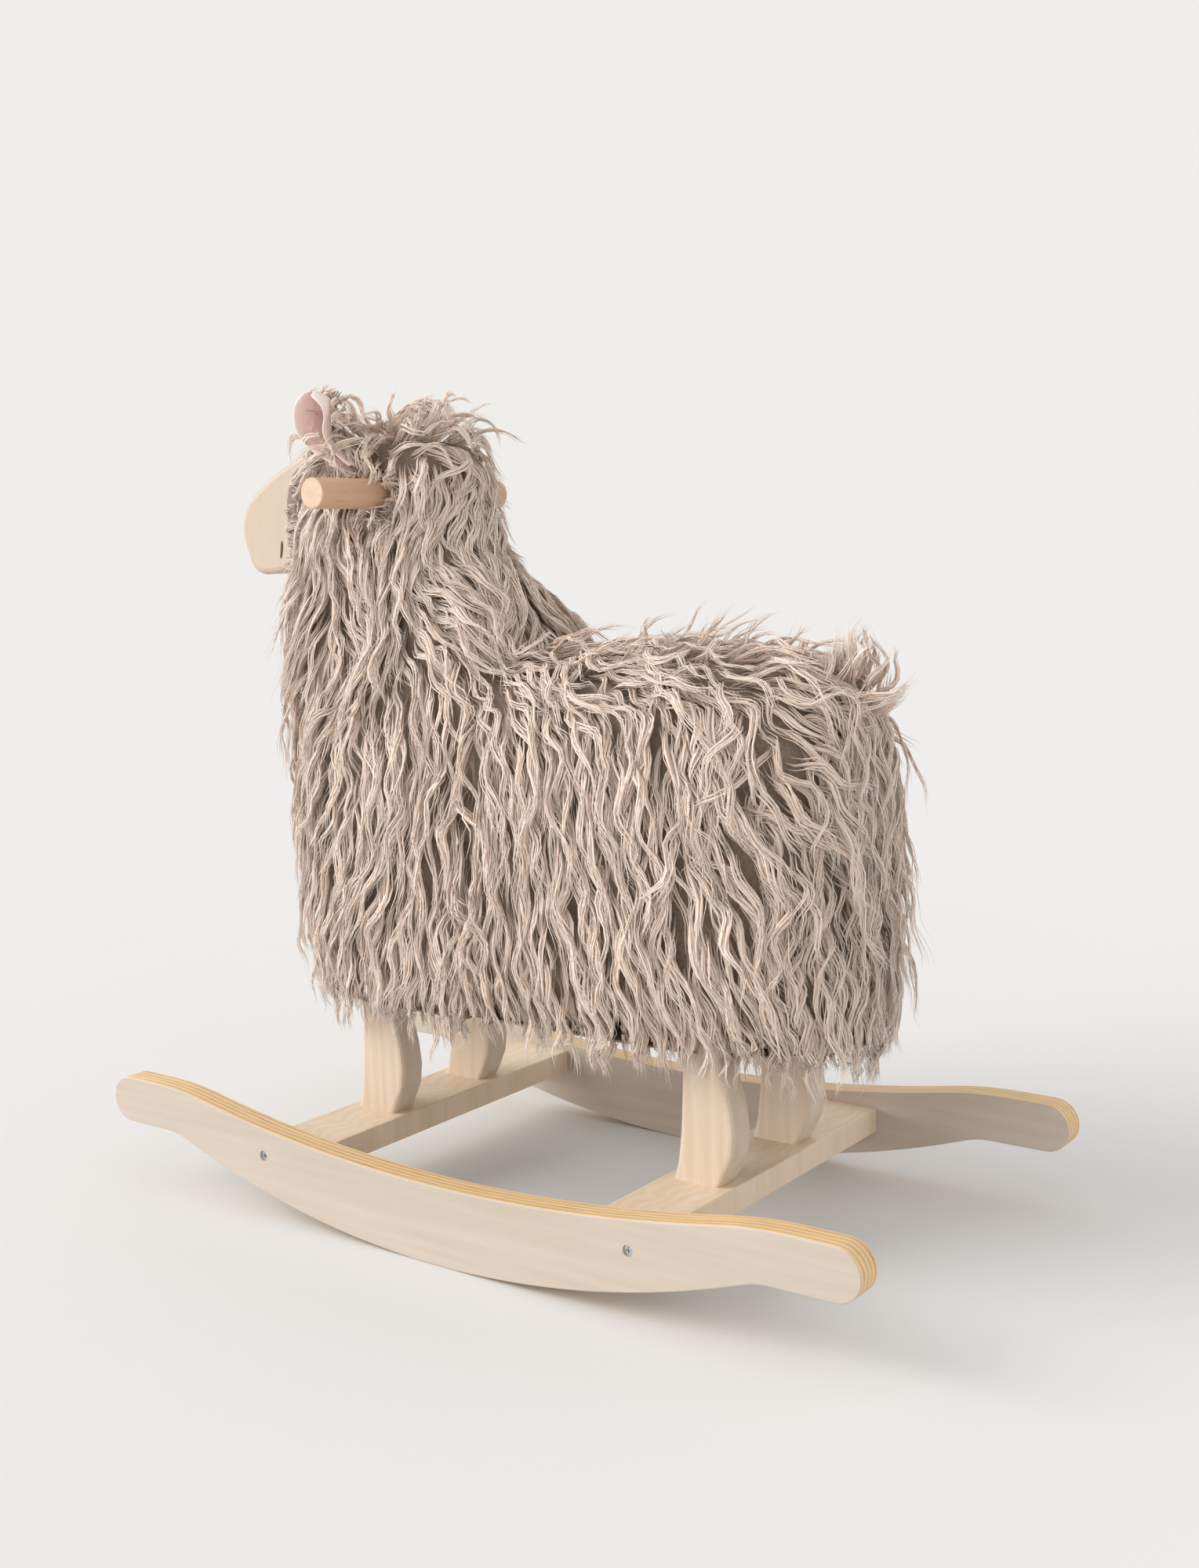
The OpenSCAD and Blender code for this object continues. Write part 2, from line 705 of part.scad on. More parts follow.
module column_coat(low, high, top_closed = false) {
    color(coat_color) difference() {
        column_form(low, high, 0);
        column_form(low - run_out, top_closed ? high - pile : high + run_out, pile);
        neck_slot();
        plate(-face_t / 2 - soft_gap, face_t / 2 + soft_gap) polygon(wrapped(face_circles, -soft_gap));
        along_y(handle_x, handle_z, -through, through, handle_d + 2 * soft_gap);
    }
}

module chest_coat() { column_coat(hem_z, back_z); }
module neck_coat() { column_coat(back_z + soft_gap, head_seam_z); }
module head_coat() { column_coat(head_seam_z + soft_gap, crown_z, true); }

// Room in the padding for the seat board
module seat_slot() {
    translate([-cavity_half_len, -cavity_half_w, seat_low - soft_gap])
        cube([2 * cavity_half_len, 2 * cavity_half_w, seat_t + 2 * soft_gap]);
}

// Room for a pair of legs and the bolster between them
module leg_slots(end) {
    back = end * board_x + shin_back - 2 - soft_gap;
    length = end * board_x + shin_front + soft_gap - back;
    bolster_back = end * board_x + leg_top_mid - bolster_t / 2 - soft_gap;
    for (s = sides) translate([back, s * leg_y - leg_t / 2 - soft_gap, 0])
        cube([length, leg_t + 2 * soft_gap, seat_low]);
    translate([bolster_back, -leg_inner, seat_low - bolster_h - soft_gap])
        cube([bolster_t + 2 * soft_gap, 2 * leg_inner, bolster_h + soft_gap]);
}

// The barrel's foam
module body_padding() {
    color(foam_color) difference() {
        body_form(pile + soft_gap, belly_z, shoulder_x - soft_gap);
        seat_slot();
        leg_slots(-1);
    }
}

// Room for the neck board, its cleats and the screw heads in them
module neck_slot() {
    plate(-neck_t / 2 - soft_gap, neck_t / 2 + soft_gap)
        polygon(wrapped(concat(neck_foot, neck_head), -soft_gap));
    translate([cleat_mid - cleat_len / 2 - soft_gap, -neck_t / 2 - cleat - soft_gap, seat_top - 1])
        cube([cleat_len + 2 * soft_gap, neck_t + 2 * cleat + 2 * soft_gap, cleat + soft_gap + 1]);
}

// Foam round the neck board, and wadding round the chest, which is hollow for the front legs
module neck_padding() {
    color(foam_color) difference() {
        column_form(belly_z, neck_top, pile + soft_gap);
        translate([shoulder_x - through, -through / 2, 0]) cube(through);
        seat_slot();
        column_form(0, seat_low, pile + soft_gap + chest_pad);
        leg_slots(1);
        neck_slot();
        plate(-face_t / 2 - soft_gap, face_t / 2 + soft_gap) polygon(wrapped(face_circles, -soft_gap));
        along_y(handle_x, handle_z, -through, through, handle_d + 2 * soft_gap);
    }
}

// A felt closing the underside, slotted for the legs and stapled to the padding's edge
module belly_cloth() {
    u_steps = 24;
    outline = [for (k = [0 : u_steps - 1]) let (a = 360 * (k + 0.5) / u_steps)
        [body_mid_x + (body_half_len - cloth_inset) * spow(cos(a), 0.6),
            (coat_half_w - cloth_inset) * spow(sin(a), 0.6)]];
    color(cloth_color) translate([0, 0, belly_z - cloth_t]) linear_extrude(cloth_t) difference() {
        polygon(outline);
        for (e = sides, s = sides)
            translate([e * board_x + leg_top_mid, s * leg_y]) square([foot_w - 2, leg_t + 2], center = true);
    }
}

// ---- Ears and tail ----

// Places an ear's plane on the head, leaning out
module at_ear(side) {
    translate([ear_foot[0], side * ear_foot[1], ear_foot[2]]) rotate([-side * ear_lean, 0, 0]) children();
}

module ear_back(side) {
    low = side > 0 ? -ear_back_t : 0;
    color(coat_color) at_ear(side) plate(low, low + ear_back_t) polygon(wrapped(ear_circles, 0, 36));
}

module ear_lining(side) {
    low = side > 0 ? 0 : -lining_t;
    color(felt_color) at_ear(side) plate(low, low + lining_t) polygon(wrapped(ear_circles, 4, 36));
}

module ear_left() { ear_back(1); }
module ear_right() { ear_back(-1); }
module ear_left_lining() { ear_lining(1); }
module ear_right_lining() { ear_lining(-1); }

module tail() {
    color(coat_color) difference() {
        translate(tail_foot) rotate([0, -tail_lean, 0]) rotate_extrude($fn = 24)
            polygon([for (k = [0 : 12]) let (a = 180 * k / 12)
                [tail_r * pow(sin(a), 0.8), tail_len * (1 - cos(a)) / 2 - 14]]);
        body_form(-soft_gap, hem_z, shoulder_x);
    }
}

rocker_left();
rocker_right();
front_cross_board();
rear_cross_board();
rocker_screws();
rocker_dowels();
front_left_leg();
front_right_leg();
rear_left_leg();
rear_right_leg();
foot_screws();
front_bolster();
rear_bolster();
bolster_screws();
seat_board();
seat_screws();
neck_board();
neck_cleat_left();
neck_cleat_right();
cleat_screws();
handle_bar();
handle_grip_left();
handle_grip_right();
handle_screw();
face_block();
face_screws();
body_padding();
neck_padding();
belly_cloth();
body_coat();
chest_coat();
neck_coat();
head_coat();
ear_left();
ear_right();
ear_left_lining();
ear_right_lining();
tail();
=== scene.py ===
# %% [markdown] # A shaggy ride-on animal on plywood rockers The wooden parts come ready made as
# CAD nodes, which stay as they are and only get better materials. What is soft on the real toy is
# modelled here: the stuffed body under the coat, the long wavy pile, the felt ears, the tail and
# the cloth under the belly.

# %% Load the frame
import json
import math

import bmesh
import bpy
import numpy as np
from mathutils import Matrix, Vector
from mathutils.bvhtree import BVHTree

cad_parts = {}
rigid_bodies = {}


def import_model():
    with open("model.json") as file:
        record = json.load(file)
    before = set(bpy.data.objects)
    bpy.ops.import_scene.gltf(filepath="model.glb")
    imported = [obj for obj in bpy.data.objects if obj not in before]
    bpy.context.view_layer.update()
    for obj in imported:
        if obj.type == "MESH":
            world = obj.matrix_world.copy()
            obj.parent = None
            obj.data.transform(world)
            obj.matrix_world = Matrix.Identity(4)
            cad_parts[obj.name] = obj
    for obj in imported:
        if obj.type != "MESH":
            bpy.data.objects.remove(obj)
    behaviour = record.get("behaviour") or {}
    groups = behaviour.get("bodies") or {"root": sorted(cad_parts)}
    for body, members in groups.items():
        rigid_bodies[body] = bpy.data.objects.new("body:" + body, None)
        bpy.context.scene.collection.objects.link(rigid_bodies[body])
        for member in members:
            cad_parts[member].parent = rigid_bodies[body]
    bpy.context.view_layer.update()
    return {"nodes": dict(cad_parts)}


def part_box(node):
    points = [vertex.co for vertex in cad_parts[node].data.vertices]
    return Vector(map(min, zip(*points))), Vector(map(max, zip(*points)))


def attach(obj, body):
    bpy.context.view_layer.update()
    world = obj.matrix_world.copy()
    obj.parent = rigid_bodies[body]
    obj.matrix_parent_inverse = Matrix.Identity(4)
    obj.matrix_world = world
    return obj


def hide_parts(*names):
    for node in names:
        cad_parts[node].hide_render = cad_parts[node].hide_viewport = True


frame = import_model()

nodes = frame["nodes"]
SIDES = (("left", 1), ("right", -1))
LEGS = ("front_left_leg", "front_right_leg", "rear_left_leg", "rear_right_leg")

# %% [markdown]
# ## The camera
# The toy is seen from behind its left shoulder, a little from above, at about 1.4 m. A camera
# looks along its own -Z, so its matrix is built from the direction of sight, and from the
# level direction to the right of it, turned by a slight roll.

# %% Camera
YAW, PITCH, ROLL = -0.940421, -0.136521, -0.019841
CAMERA_AT = (-0.81675, 1.08195, 0.50451)
LENS_MM, SENSOR_MM = 41.854, 36
sight = Vector((math.cos(YAW) * math.cos(PITCH), math.sin(YAW) * math.cos(PITCH), math.sin(PITCH)))
level = sight.cross(Vector((0, 0, 1))).normalized()
upright = level.cross(sight)
cam_x = math.cos(ROLL) * level + math.sin(ROLL) * upright
cam_y = math.cos(ROLL) * upright - math.sin(ROLL) * level

cam_data = bpy.data.cameras.new("studio_camera")
cam_data.lens = LENS_MM
cam_data.sensor_width = SENSOR_MM
cam_data.clip_end = 50
camera = bpy.data.objects.new("studio_camera", cam_data)
bpy.context.collection.objects.link(camera)
turn = Matrix((cam_x, cam_y, -sight)).transposed()
camera.matrix_world = Matrix.Translation(CAMERA_AT) @ turn.to_4x4()
bpy.context.scene.camera = camera
print("camera at", [round(v, 3) for v in camera.location])

# %% [markdown]
# ## Colours
# A colour is easiest to choose as the 0-255 values that a screen shows, but a shader counts
# light, so each value is turned into its linear one.

# %% Colour helper
def rgb(r, g, b):
    """A colour written as 0-255 screen values, as the linear values that a shader takes."""
    def lin(v):
        v /= 255
        return v / 12.92 if v <= 0.04045 else ((v + 0.055) / 1.055) ** 2.4
    return (lin(r), lin(g), lin(b), 1.0)


WHITE = (1, 1, 1, 1)
print("middle grey in light:", round(rgb(128, 128, 128)[0], 3))

# %% [markdown]
# ## Node materials
# Every finish is a small graph of nodes. The graph could be wired by hand each time, but most
# finishes need the same few steps, so each step gets one short function here. The first are the
# plain ones: adding a node, feeding a socket, some arithmetic, and the coordinates of the piece.

# %% A graph of nodes
class Graph:
    """A material's node tree, empty at first."""

    def __init__(self, name):
        self.mat = bpy.data.materials.new(name)
        self.mat.use_nodes = True
        self.tree = self.mat.node_tree
        self.tree.nodes.clear()

    def add(self, kind, inputs=None, **settings):
        node = self.tree.nodes.new(kind)
        for key, value in settings.items():
            setattr(node, key, value)
        for key, value in (inputs or {}).items():
            self.feed(node.inputs[key], value)
        return node

    def feed(self, socket, value):
        """Links a node or one of its sockets to a socket, or sets the socket to a value."""
        if isinstance(value, bpy.types.NodeSocket):
            self.tree.links.new(value, socket)
        elif isinstance(value, bpy.types.Node):
            self.tree.links.new(value.outputs[0], socket)
        else:
            socket.default_value = value

    def math(self, operation, a, b=0.0):
        node = self.add("ShaderNodeMath", operation=operation)
        self.feed(node.inputs[0], a)
        self.feed(node.inputs[1], b)
        return node.outputs[0]

    def blend_of(self, *weighted):
        """A sum of values, each times its weight."""
        total = None
        for value, weight in weighted:
            part = self.math("MULTIPLY", value, weight)
            total = part if total is None else self.math("ADD", total, part)
        return total

    def place(self, scale=(1, 1, 1), turn=(0, 0, 0), source="Object"):
        """Coordinates of the piece, turned and stretched."""
        coords = self.add("ShaderNodeTexCoord")
        mapping = self.add("ShaderNodeMapping")
        self.tree.links.new(coords.outputs[source], mapping.inputs["Vector"])
        mapping.inputs["Rotation"].default_value = turn
        mapping.inputs["Scale"].default_value = scale
        return mapping.outputs[0]


print("a graph can:", [word for word in vars(Graph) if not word.startswith("_")])

# %% [markdown]
# A finish is such a graph with a Principled shader at its end. It adds what gives a surface its
# look: noise, a colour ramp, a mix of two colours, a bump and a sheen. With these, a finish
# further down reads as a list of steps.

# %% A finish
class Finish(Graph):
    """A material in the making: a graph that ends in a Principled shader."""

    def __init__(self, name, roughness=0.5, metallic=0.0):
        super().__init__(name)
        out = self.tree.nodes.new("ShaderNodeOutputMaterial")
        self.shader = self.tree.nodes.new("ShaderNodeBsdfPrincipled")
        self.shader.inputs["Roughness"].default_value = roughness
        self.shader.inputs["Metallic"].default_value = metallic
        self.tree.links.new(self.shader.outputs[0], out.inputs[0])

    def noise(self, vector, scale, detail=3.0, rough=0.55):
        return self.add("ShaderNodeTexNoise", {"Vector": vector, "Scale": scale, "Detail": detail,
                                               "Roughness": rough}).outputs["Fac"]

    def ramp(self, factor, stops):
        """A colour ramp through stops of (place, colour)."""
        node = self.add("ShaderNodeValToRGB", {"Fac": factor})
        elements = node.color_ramp.elements
        while len(elements) < len(stops):
            elements.new(0.5)
        for element, (place, colour) in zip(elements, stops):
            element.position = place
            element.color = colour
        return node.outputs["Color"]

    def mix(self, factor, a, b, blend="MIX"):
        node = self.add("ShaderNodeMix", data_type="RGBA", blend_type=blend)
        self.feed(node.inputs[0], factor)
        self.feed(node.inputs[6], a)
        self.feed(node.inputs[7], b)
        return node.outputs[2]

    def bump(self, height, strength, distance):
        node = self.add("ShaderNodeBump", {"Height": height, "Strength": strength, "Distance": distance})
        self.feed(self.shader.inputs["Normal"], node)

    def colour(self, value):
        self.feed(self.shader.inputs["Base Color"], value)

    def sheen(self, weight, roughness=0.5, tint=WHITE):
        self.shader.inputs["Sheen Weight"].default_value = weight
        self.shader.inputs["Sheen Roughness"].default_value = roughness
        self.shader.inputs["Sheen Tint"].default_value = tint


def dress(obj, finish):
    """Gives every material slot of a piece one finish."""
    if not obj.data.materials:
        obj.data.materials.append(finish.mat)
    for k in range(len(obj.data.materials)):
        obj.data.materials[k] = finish.mat


print("a finish can:", [word for word in vars(Finish) if not word.startswith("_")])

# %% [markdown]
# ## Solid wood
# The legs, the cross boards and the face block are pale solid wood under a matt clear finish.
# Its figure is long and faint: broad growth lines, finer streaks and short pores, all stretched
# along the grain. A wave texture bent by its own distortion gives the growth lines, and two
# noises the rest. A wave texture repeats every tau/20, about 0.31, of its scaled coordinates. The
# grain's direction is a turn of the coordinates, so one function does for every solid wooden part.

# %% Solid wood
GRAIN_TURN = {"X": (0, math.radians(90), 0), "Y": (math.radians(90), 0, 0), "Z": (0, 0, 0)}
RING_SCALE, STREAK_SCALE, PORE_SCALE = 26, 420, 1500


def solid_wood(name, grain, light, dark, extra_turn=0.0):
    turn = list(GRAIN_TURN[grain])
    turn[1] += extra_turn
    finish = Finish(name, 0.5)
    along_grain = finish.place((1, 1, 0.07), turn)
    long_grain = finish.place((1, 1, 0.02), turn)
    drift = finish.noise(along_grain, 9, 2)
    rings = finish.add("ShaderNodeTexWave", {
        "Vector": along_grain, "Scale": RING_SCALE, "Distortion": 9, "Detail": 2,
        "Detail Scale": 1.4}, bands_direction="X").outputs["Fac"]
    streaks = finish.noise(long_grain, STREAK_SCALE, 4, 0.7)
    figure = finish.blend_of((rings, 0.16), (streaks, 0.42), (drift, 0.5))
    colour = finish.ramp(figure, [(0.30, light), (0.72, dark)])
    pores = finish.noise(long_grain, PORE_SCALE, 1)
    specks = finish.ramp(pores, [(0.66, WHITE), (0.74, (0.86, 0.83, 0.79, 1))])
    finish.colour(finish.mix(0.6, colour, specks, "MULTIPLY"))
    finish.bump(streaks, 0.12, 0.0002)
    return finish


print("growth lines about", round(1000 * math.tau / 20 / RING_SCALE), "mm apart")

# %% [markdown]
# The grain runs up the legs, along the cross boards and, a little tilted, through the face
# block. The parts were cut from different planks, so each kind has its own pair of colours.

# %% Wood on legs, boards and face
leg_wood = solid_wood("pale_wood_upright", "Z", rgb(226, 209, 191), rgb(211, 190, 166))
board_wood = solid_wood("pale_wood_crosswise", "Y", rgb(238, 219, 196), rgb(222, 198, 168))
face_wood = solid_wood("pale_wood_face", "X", rgb(203, 186, 168), rgb(194, 173, 151),
                       math.radians(-8))
wooden = {leg_wood: LEGS,
          board_wood: ("front_cross_board", "rear_cross_board", "front_bolster", "rear_bolster"),
          face_wood: ("face_block", "neck_cleat_left", "neck_cleat_right")}
for finish, names in wooden.items():
    for name in names:
        dress(nodes[name], finish)
print("solid wood on", sum(len(names) for names in wooden.values()), "nodes")

# %% [markdown]
# ## Birch plywood
# A rocker is nine thin layers glued across each other. Its faces show one pale veneer, and its
# sawn edges show every layer: long-grain layers are pale, cross-grain ones are darker with short
# dark dashes. Counting layers by the distance from the rocker's inner face gives all of it with
# one graph, because the two faces always lie in the outermost layers. A little noise on that
# distance makes the layers waver, as pressed veneers do.

# %% Plywood
PLY_COUNT = 9
SKIN = 0.0006


def veneer_face(finish, veneer):
    """The broad face: fine grain along X over a wider figure."""
    figure = finish.noise(finish.place((0.12, 1, 1)), 22, 3)
    return finish.ramp(finish.blend_of((veneer, 0.6), (figure, 0.4)),
                       [(0.34, rgb(204, 191, 178)), (0.66, rgb(191, 177, 161))])


def sawn_edge(finish, veneer, layer):
    """The sawn edge: long and cross layers by turns, with thin dark glue lines between them."""
    dashes = finish.noise(finish.place((0.35, 6, 1)), 70, 3, 0.7)
    cross = finish.ramp(dashes, [(0.4, rgb(226, 190, 138)), (0.6, rgb(211, 172, 118)),
                                 (0.72, rgb(170, 128, 84))])
    long_layer = finish.ramp(veneer, [(0.35, rgb(240, 211, 165)), (0.7, rgb(228, 194, 144))])
    odd = finish.math("GREATER_THAN", finish.math("MODULO", layer, 2.0), 1.0)
    glue = finish.ramp(finish.math("PINGPONG", layer, 0.5),
                       [(0.02, (0.72, 0.62, 0.5, 1)), (0.13, WHITE)])
    return finish.mix(0.9, finish.mix(odd, long_layer, cross), glue, "MULTIPLY")


def plywood(name, inner_face, thickness, axis="Y"):
    """Layers are counted along an axis, outwards from |axis| = inner_face."""
    finish = Finish(name, 0.5)
    coords = finish.place()
    split = finish.add("ShaderNodeSeparateXYZ", {"Vector": coords})
    depth = finish.math("SUBTRACT", finish.math("ABSOLUTE", split.outputs[axis]), inner_face)
    waver = finish.math("MULTIPLY", finish.math("SUBTRACT", finish.noise(coords, 9, 2), 0.5), 0.0007)
    layer = finish.math("DIVIDE", finish.math("ADD", depth, waver), thickness / PLY_COUNT)
    layer = finish.math("MINIMUM", finish.math("MAXIMUM", layer, 0.1), PLY_COUNT - 0.1)
    veneer = finish.noise(finish.place((0.05, 1, 1)), 130, 5, 0.6)
    from_middle = finish.math("ABSOLUTE", finish.math("SUBTRACT", depth, thickness / 2))
    at_face = finish.math("GREATER_THAN", from_middle, thickness / 2 - SKIN)
    finish.colour(finish.mix(at_face, sawn_edge(finish, veneer, layer), veneer_face(finish, veneer)))
    finish.bump(veneer, 0.08, 0.0002)
    return finish


print("plywood of", PLY_COUNT, "layers")

# %% [markdown]
# The distances come from the boards' own places: a rocker's inner face is 149.5 mm from the
# middle plane, the upright neck board straddles it, and the seat board lies at 360 mm.

# %% Plywood on rockers, neck and seat
ROCKER_INNER, ROCKER_THICK = 0.1495, 0.021
rocker_ply = plywood("birch_plywood", ROCKER_INNER, ROCKER_THICK)
for name in ("rocker_left", "rocker_right"):
    dress(nodes[name], rocker_ply)
dress(nodes["neck_board"], plywood("neck_plywood", -0.009, 0.018))
dress(nodes["seat_board"], plywood("seat_plywood", 0.360, 0.015, "Z"))
print("a layer of a rocker is", round(1000 * ROCKER_THICK / PLY_COUNT, 2), "mm thick")

# %% [markdown]
# ## Beech grips
# Beech is pinkish, with short dark flecks along the grain and a paler, pinker end. The flecks
# are noise stretched along Y and cut off high. The sawn end is found by its distance from the
# middle of the toy, so one finish covers the whole bar.

# %% Beech
GRIP_END = 0.1074


def turned_beech(half_length):
    finish = Finish("turned_beech", 0.46)
    streaks = finish.noise(finish.place((1, 0.06, 1)), 260, 4, 0.6)
    broad = finish.noise(finish.place((1, 0.06, 1)), 40, 2)
    body = finish.ramp(finish.blend_of((streaks, 0.5), (broad, 0.5)),
                       [(0.36, rgb(216, 181, 149)), (0.64, rgb(200, 162, 129))])
    flecks = finish.ramp(finish.noise(finish.place((1, 0.12, 1)), 620, 1),
                         [(0.64, WHITE), (0.72, (0.80, 0.72, 0.64, 1))])
    side = finish.mix(0.7, body, flecks, "MULTIPLY")
    rings = finish.noise(finish.place((1, 0.2, 3)), 120, 3)
    end = finish.ramp(rings, [(0.35, rgb(220, 192, 163)), (0.65, rgb(209, 178, 149))])
    split = finish.add("ShaderNodeSeparateXYZ", {"Vector": finish.place()})
    at_end = finish.math("GREATER_THAN", finish.math("ABSOLUTE", split.outputs["Y"]), half_length)
    finish.colour(finish.mix(at_end, side, end))
    finish.bump(streaks, 0.1, 0.0002)
    return finish


beech = turned_beech(GRIP_END)
for name in ("handle_bar", "handle_grip_left", "handle_grip_right", "rocker_dowels"):
    dress(nodes[name], beech)
print("sawn ends of the grips past", GRIP_END, "m")

# %% [markdown]
# ## Zinc screws
# The screws are bright zinc plate: a bluish metal whose shine is slightly uneven. One fine noise
# serves both the colour and the roughness.

# %% Zinc
zinc = Finish("zinc_plate", 0.32, 1.0)
cloud = zinc.noise(zinc.place(), 900, 2)
zinc.colour(zinc.ramp(cloud, [(0.3, rgb(186, 192, 198)), (0.7, rgb(212, 216, 220))]))
zinc.feed(zinc.shader.inputs["Roughness"], zinc.math("ADD", zinc.math("MULTIPLY", cloud, 0.2), 0.2))
screw_nodes = [n for n in nodes if n.endswith("_screws") or n.endswith("_screw")]
for name in screw_nodes:
    dress(nodes[name], zinc)
print("zinc on", screw_nodes)

# %% [markdown]
# ## Small helpers for modelling
# An operator acts on all that is selected, so everything is deselected before a new primitive
# is added. Each finished piece keeps its place in its mesh, with the object itself at the origin.

# %% Choosing and settling objects
def deselect():
    if bpy.context.mode != "OBJECT":
        bpy.ops.object.mode_set(mode="OBJECT")
    bpy.ops.object.select_all(action="DESELECT")


def choose(obj):
    deselect()
    obj.select_set(True)
    bpy.context.view_layer.objects.active = obj
    return obj


def newest(name):
    """Names the object that was just made."""
    obj = bpy.context.object
    obj.name = name
    obj.data.name = name
    return obj


def settle(obj):
    """Moves an object's place, turn and scale into its mesh."""
    choose(obj)
    bpy.ops.object.transform_apply(location=True, rotation=True, scale=True)
    return obj


print("mode now:", bpy.context.mode)

# %% [markdown]
# Edit mode works on the points and faces of one object. It is entered with everything selected,
# because most steps start from there, and left again before the next object is made.

# %% In and out of edit mode
def edit(obj):
    """Goes into edit mode on one object, with everything selected."""
    choose(obj)
    bpy.ops.object.mode_set(mode="EDIT")
    bpy.ops.mesh.select_all(action="SELECT")


def leave_edit():
    bpy.ops.object.mode_set(mode="OBJECT")


modes = ("points", "edges", "faces")
print("edit mode selects", dict(zip(modes, bpy.context.tool_settings.mesh_select_mode)))

# %% [markdown]
# Some shapes are easier to give to all points at once, as an array, than by moving them by hand.
# These two read a mesh's points into an array and put them back.

# %% Points of a mesh as an array
def points_of(obj):
    co = np.empty(len(obj.data.vertices) * 3, dtype=np.float32)
    obj.data.vertices.foreach_get("co", co)
    return co.reshape(-1, 3).astype(float)


def put_points(obj, co):
    obj.data.vertices.foreach_set("co", co.astype(np.float32).ravel())
    obj.data.update()


def triangles(obj):
    obj.data.calc_loop_triangles()
    return len(obj.data.loop_triangles)


print("the face block has", len(points_of(nodes["face_block"])), "points")

# %% [markdown]
# ## The mark on the cheek
# Each cheek of the face block carries one short dark line, drawn like a closed eye. It could be
# painted in the wood's material, but a sliver of its own has crisp edges from all sides. A cube
# is stretched, cut along its length and bent by moving its rows of points along a parabola. It
# stands two tenths of a millimetre proud of the wood.

# %% Cheek marks
MARK_X, MARK_TOP, MARK_LOW = 0.2712, 0.5035, 0.4895
MARK_WIDE, MARK_THICK, MARK_BEND = 0.0025, 0.0006, 0.0021
cheek_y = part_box("face_block")[1][1]
burnt = Finish("burnt_brown", 0.6)
burnt.colour(burnt.ramp(burnt.noise(burnt.place(), 2500, 2),
                        [(0.3, rgb(58, 34, 26)), (0.7, rgb(80, 50, 38))]))


def cheek_mark(word, side):
    deselect()
    bpy.ops.mesh.primitive_cube_add(size=1)
    mark = newest("cheek_mark_" + word)
    mark.scale = (MARK_WIDE, MARK_THICK, MARK_TOP - MARK_LOW)
    mark.location = (MARK_X, side * (cheek_y - 0.0001), (MARK_TOP + MARK_LOW) / 2)
    settle(mark)
    edit(mark)
    bpy.ops.mesh.subdivide(number_cuts=9)
    leave_edit()
    co = points_of(mark)
    down = (MARK_TOP - co[:, 2]) / (MARK_TOP - MARK_LOW)
    slim = np.sqrt(np.clip(1 - (2 * down - 1) ** 4, 0.05, 1))
    co[:, 0] = MARK_X + (co[:, 0] - MARK_X) * slim + MARK_BEND * down ** 2
    put_points(mark, co)
    bpy.ops.object.shade_smooth()
    dress(mark, burnt)
    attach(mark, "root")
    return mark


for word, side in SIDES:
    print(cheek_mark(word, side).name, "at x", MARK_X)

# %% [markdown]
# ## The stuffed body under the coat
# On the real toy a knitted backing, pulled over foam, carries the pile. Its shape is that of the
# CAD coat, drawn in by the depth of the pile. It could be sculpted anew, but then it could miss
# the frame, so it starts from copies of the CAD coat and foam, joined to one object.

# %% Copying and joining CAD solids
SOFT_NODES = ("body_coat", "chest_coat", "neck_coat", "head_coat", "body_padding", "neck_padding")


def copy_of(name):
    copy = nodes[name].copy()
    copy.data = nodes[name].data.copy()
    copy.parent = None
    copy.matrix_world = nodes[name].matrix_world
    bpy.context.collection.objects.link(copy)
    copy.hide_render = copy.hide_viewport = False
    return copy


def joined(objects, name):
    deselect()
    for obj in objects:
        obj.select_set(True)
    bpy.context.view_layer.objects.active = objects[0]
    bpy.ops.object.join()
    return newest(name)


parts = [copy_of(n) for n in SOFT_NODES + ("seat_board", "neck_board")]
print(len(parts), "copies")

# %% [markdown]
# The foam has room cut out for the legs and bolsters. That room doesn't show under the coat, and
# a thin wall there would tear in the next step, so a block fills the barrel and a drum fills the
# chest. Both stay well inside.

# %% Filling the room for the legs
CORE_LOW, CORE_HEIGHT = 0.157, 0.23
core_middle = CORE_LOW + CORE_HEIGHT / 2
deselect()
bpy.ops.mesh.primitive_cube_add(size=1)
filler = bpy.context.object
filler.scale = (0.32, 0.15, CORE_HEIGHT)
filler.location = (-0.02, 0, core_middle)
parts.append(settle(filler))
deselect()
bpy.ops.mesh.primitive_cylinder_add(vertices=32, radius=0.082, depth=CORE_HEIGHT,
                                    location=(0.112, 0, core_middle))
parts.append(bpy.context.object)
print("fillers from", CORE_LOW, "to", CORE_LOW + CORE_HEIGHT)

# %% [markdown]
# From here on, modifiers help with the shaping. They could stay live, but a later step often
# works on the points that a modifier makes, so each one is applied at once.

# %% Using a modifier
def use_modifier(obj, kind, **settings):
    """Adds a modifier, sets it and applies it at once."""
    choose(obj)
    mod = obj.modifiers.new(kind.lower(), kind)
    for key, value in settings.items():
        setattr(mod, key, value)
    bpy.ops.object.modifier_apply(modifier=mod.name)
    return obj


print("solids to melt together:", len(parts))

# %% [markdown]
# A voxel remesh melts the joined solids into one closed form, as if they were dipped in wax.
# Displace then draws it in along its normals by the depth of the pile, and Smooth evens it.

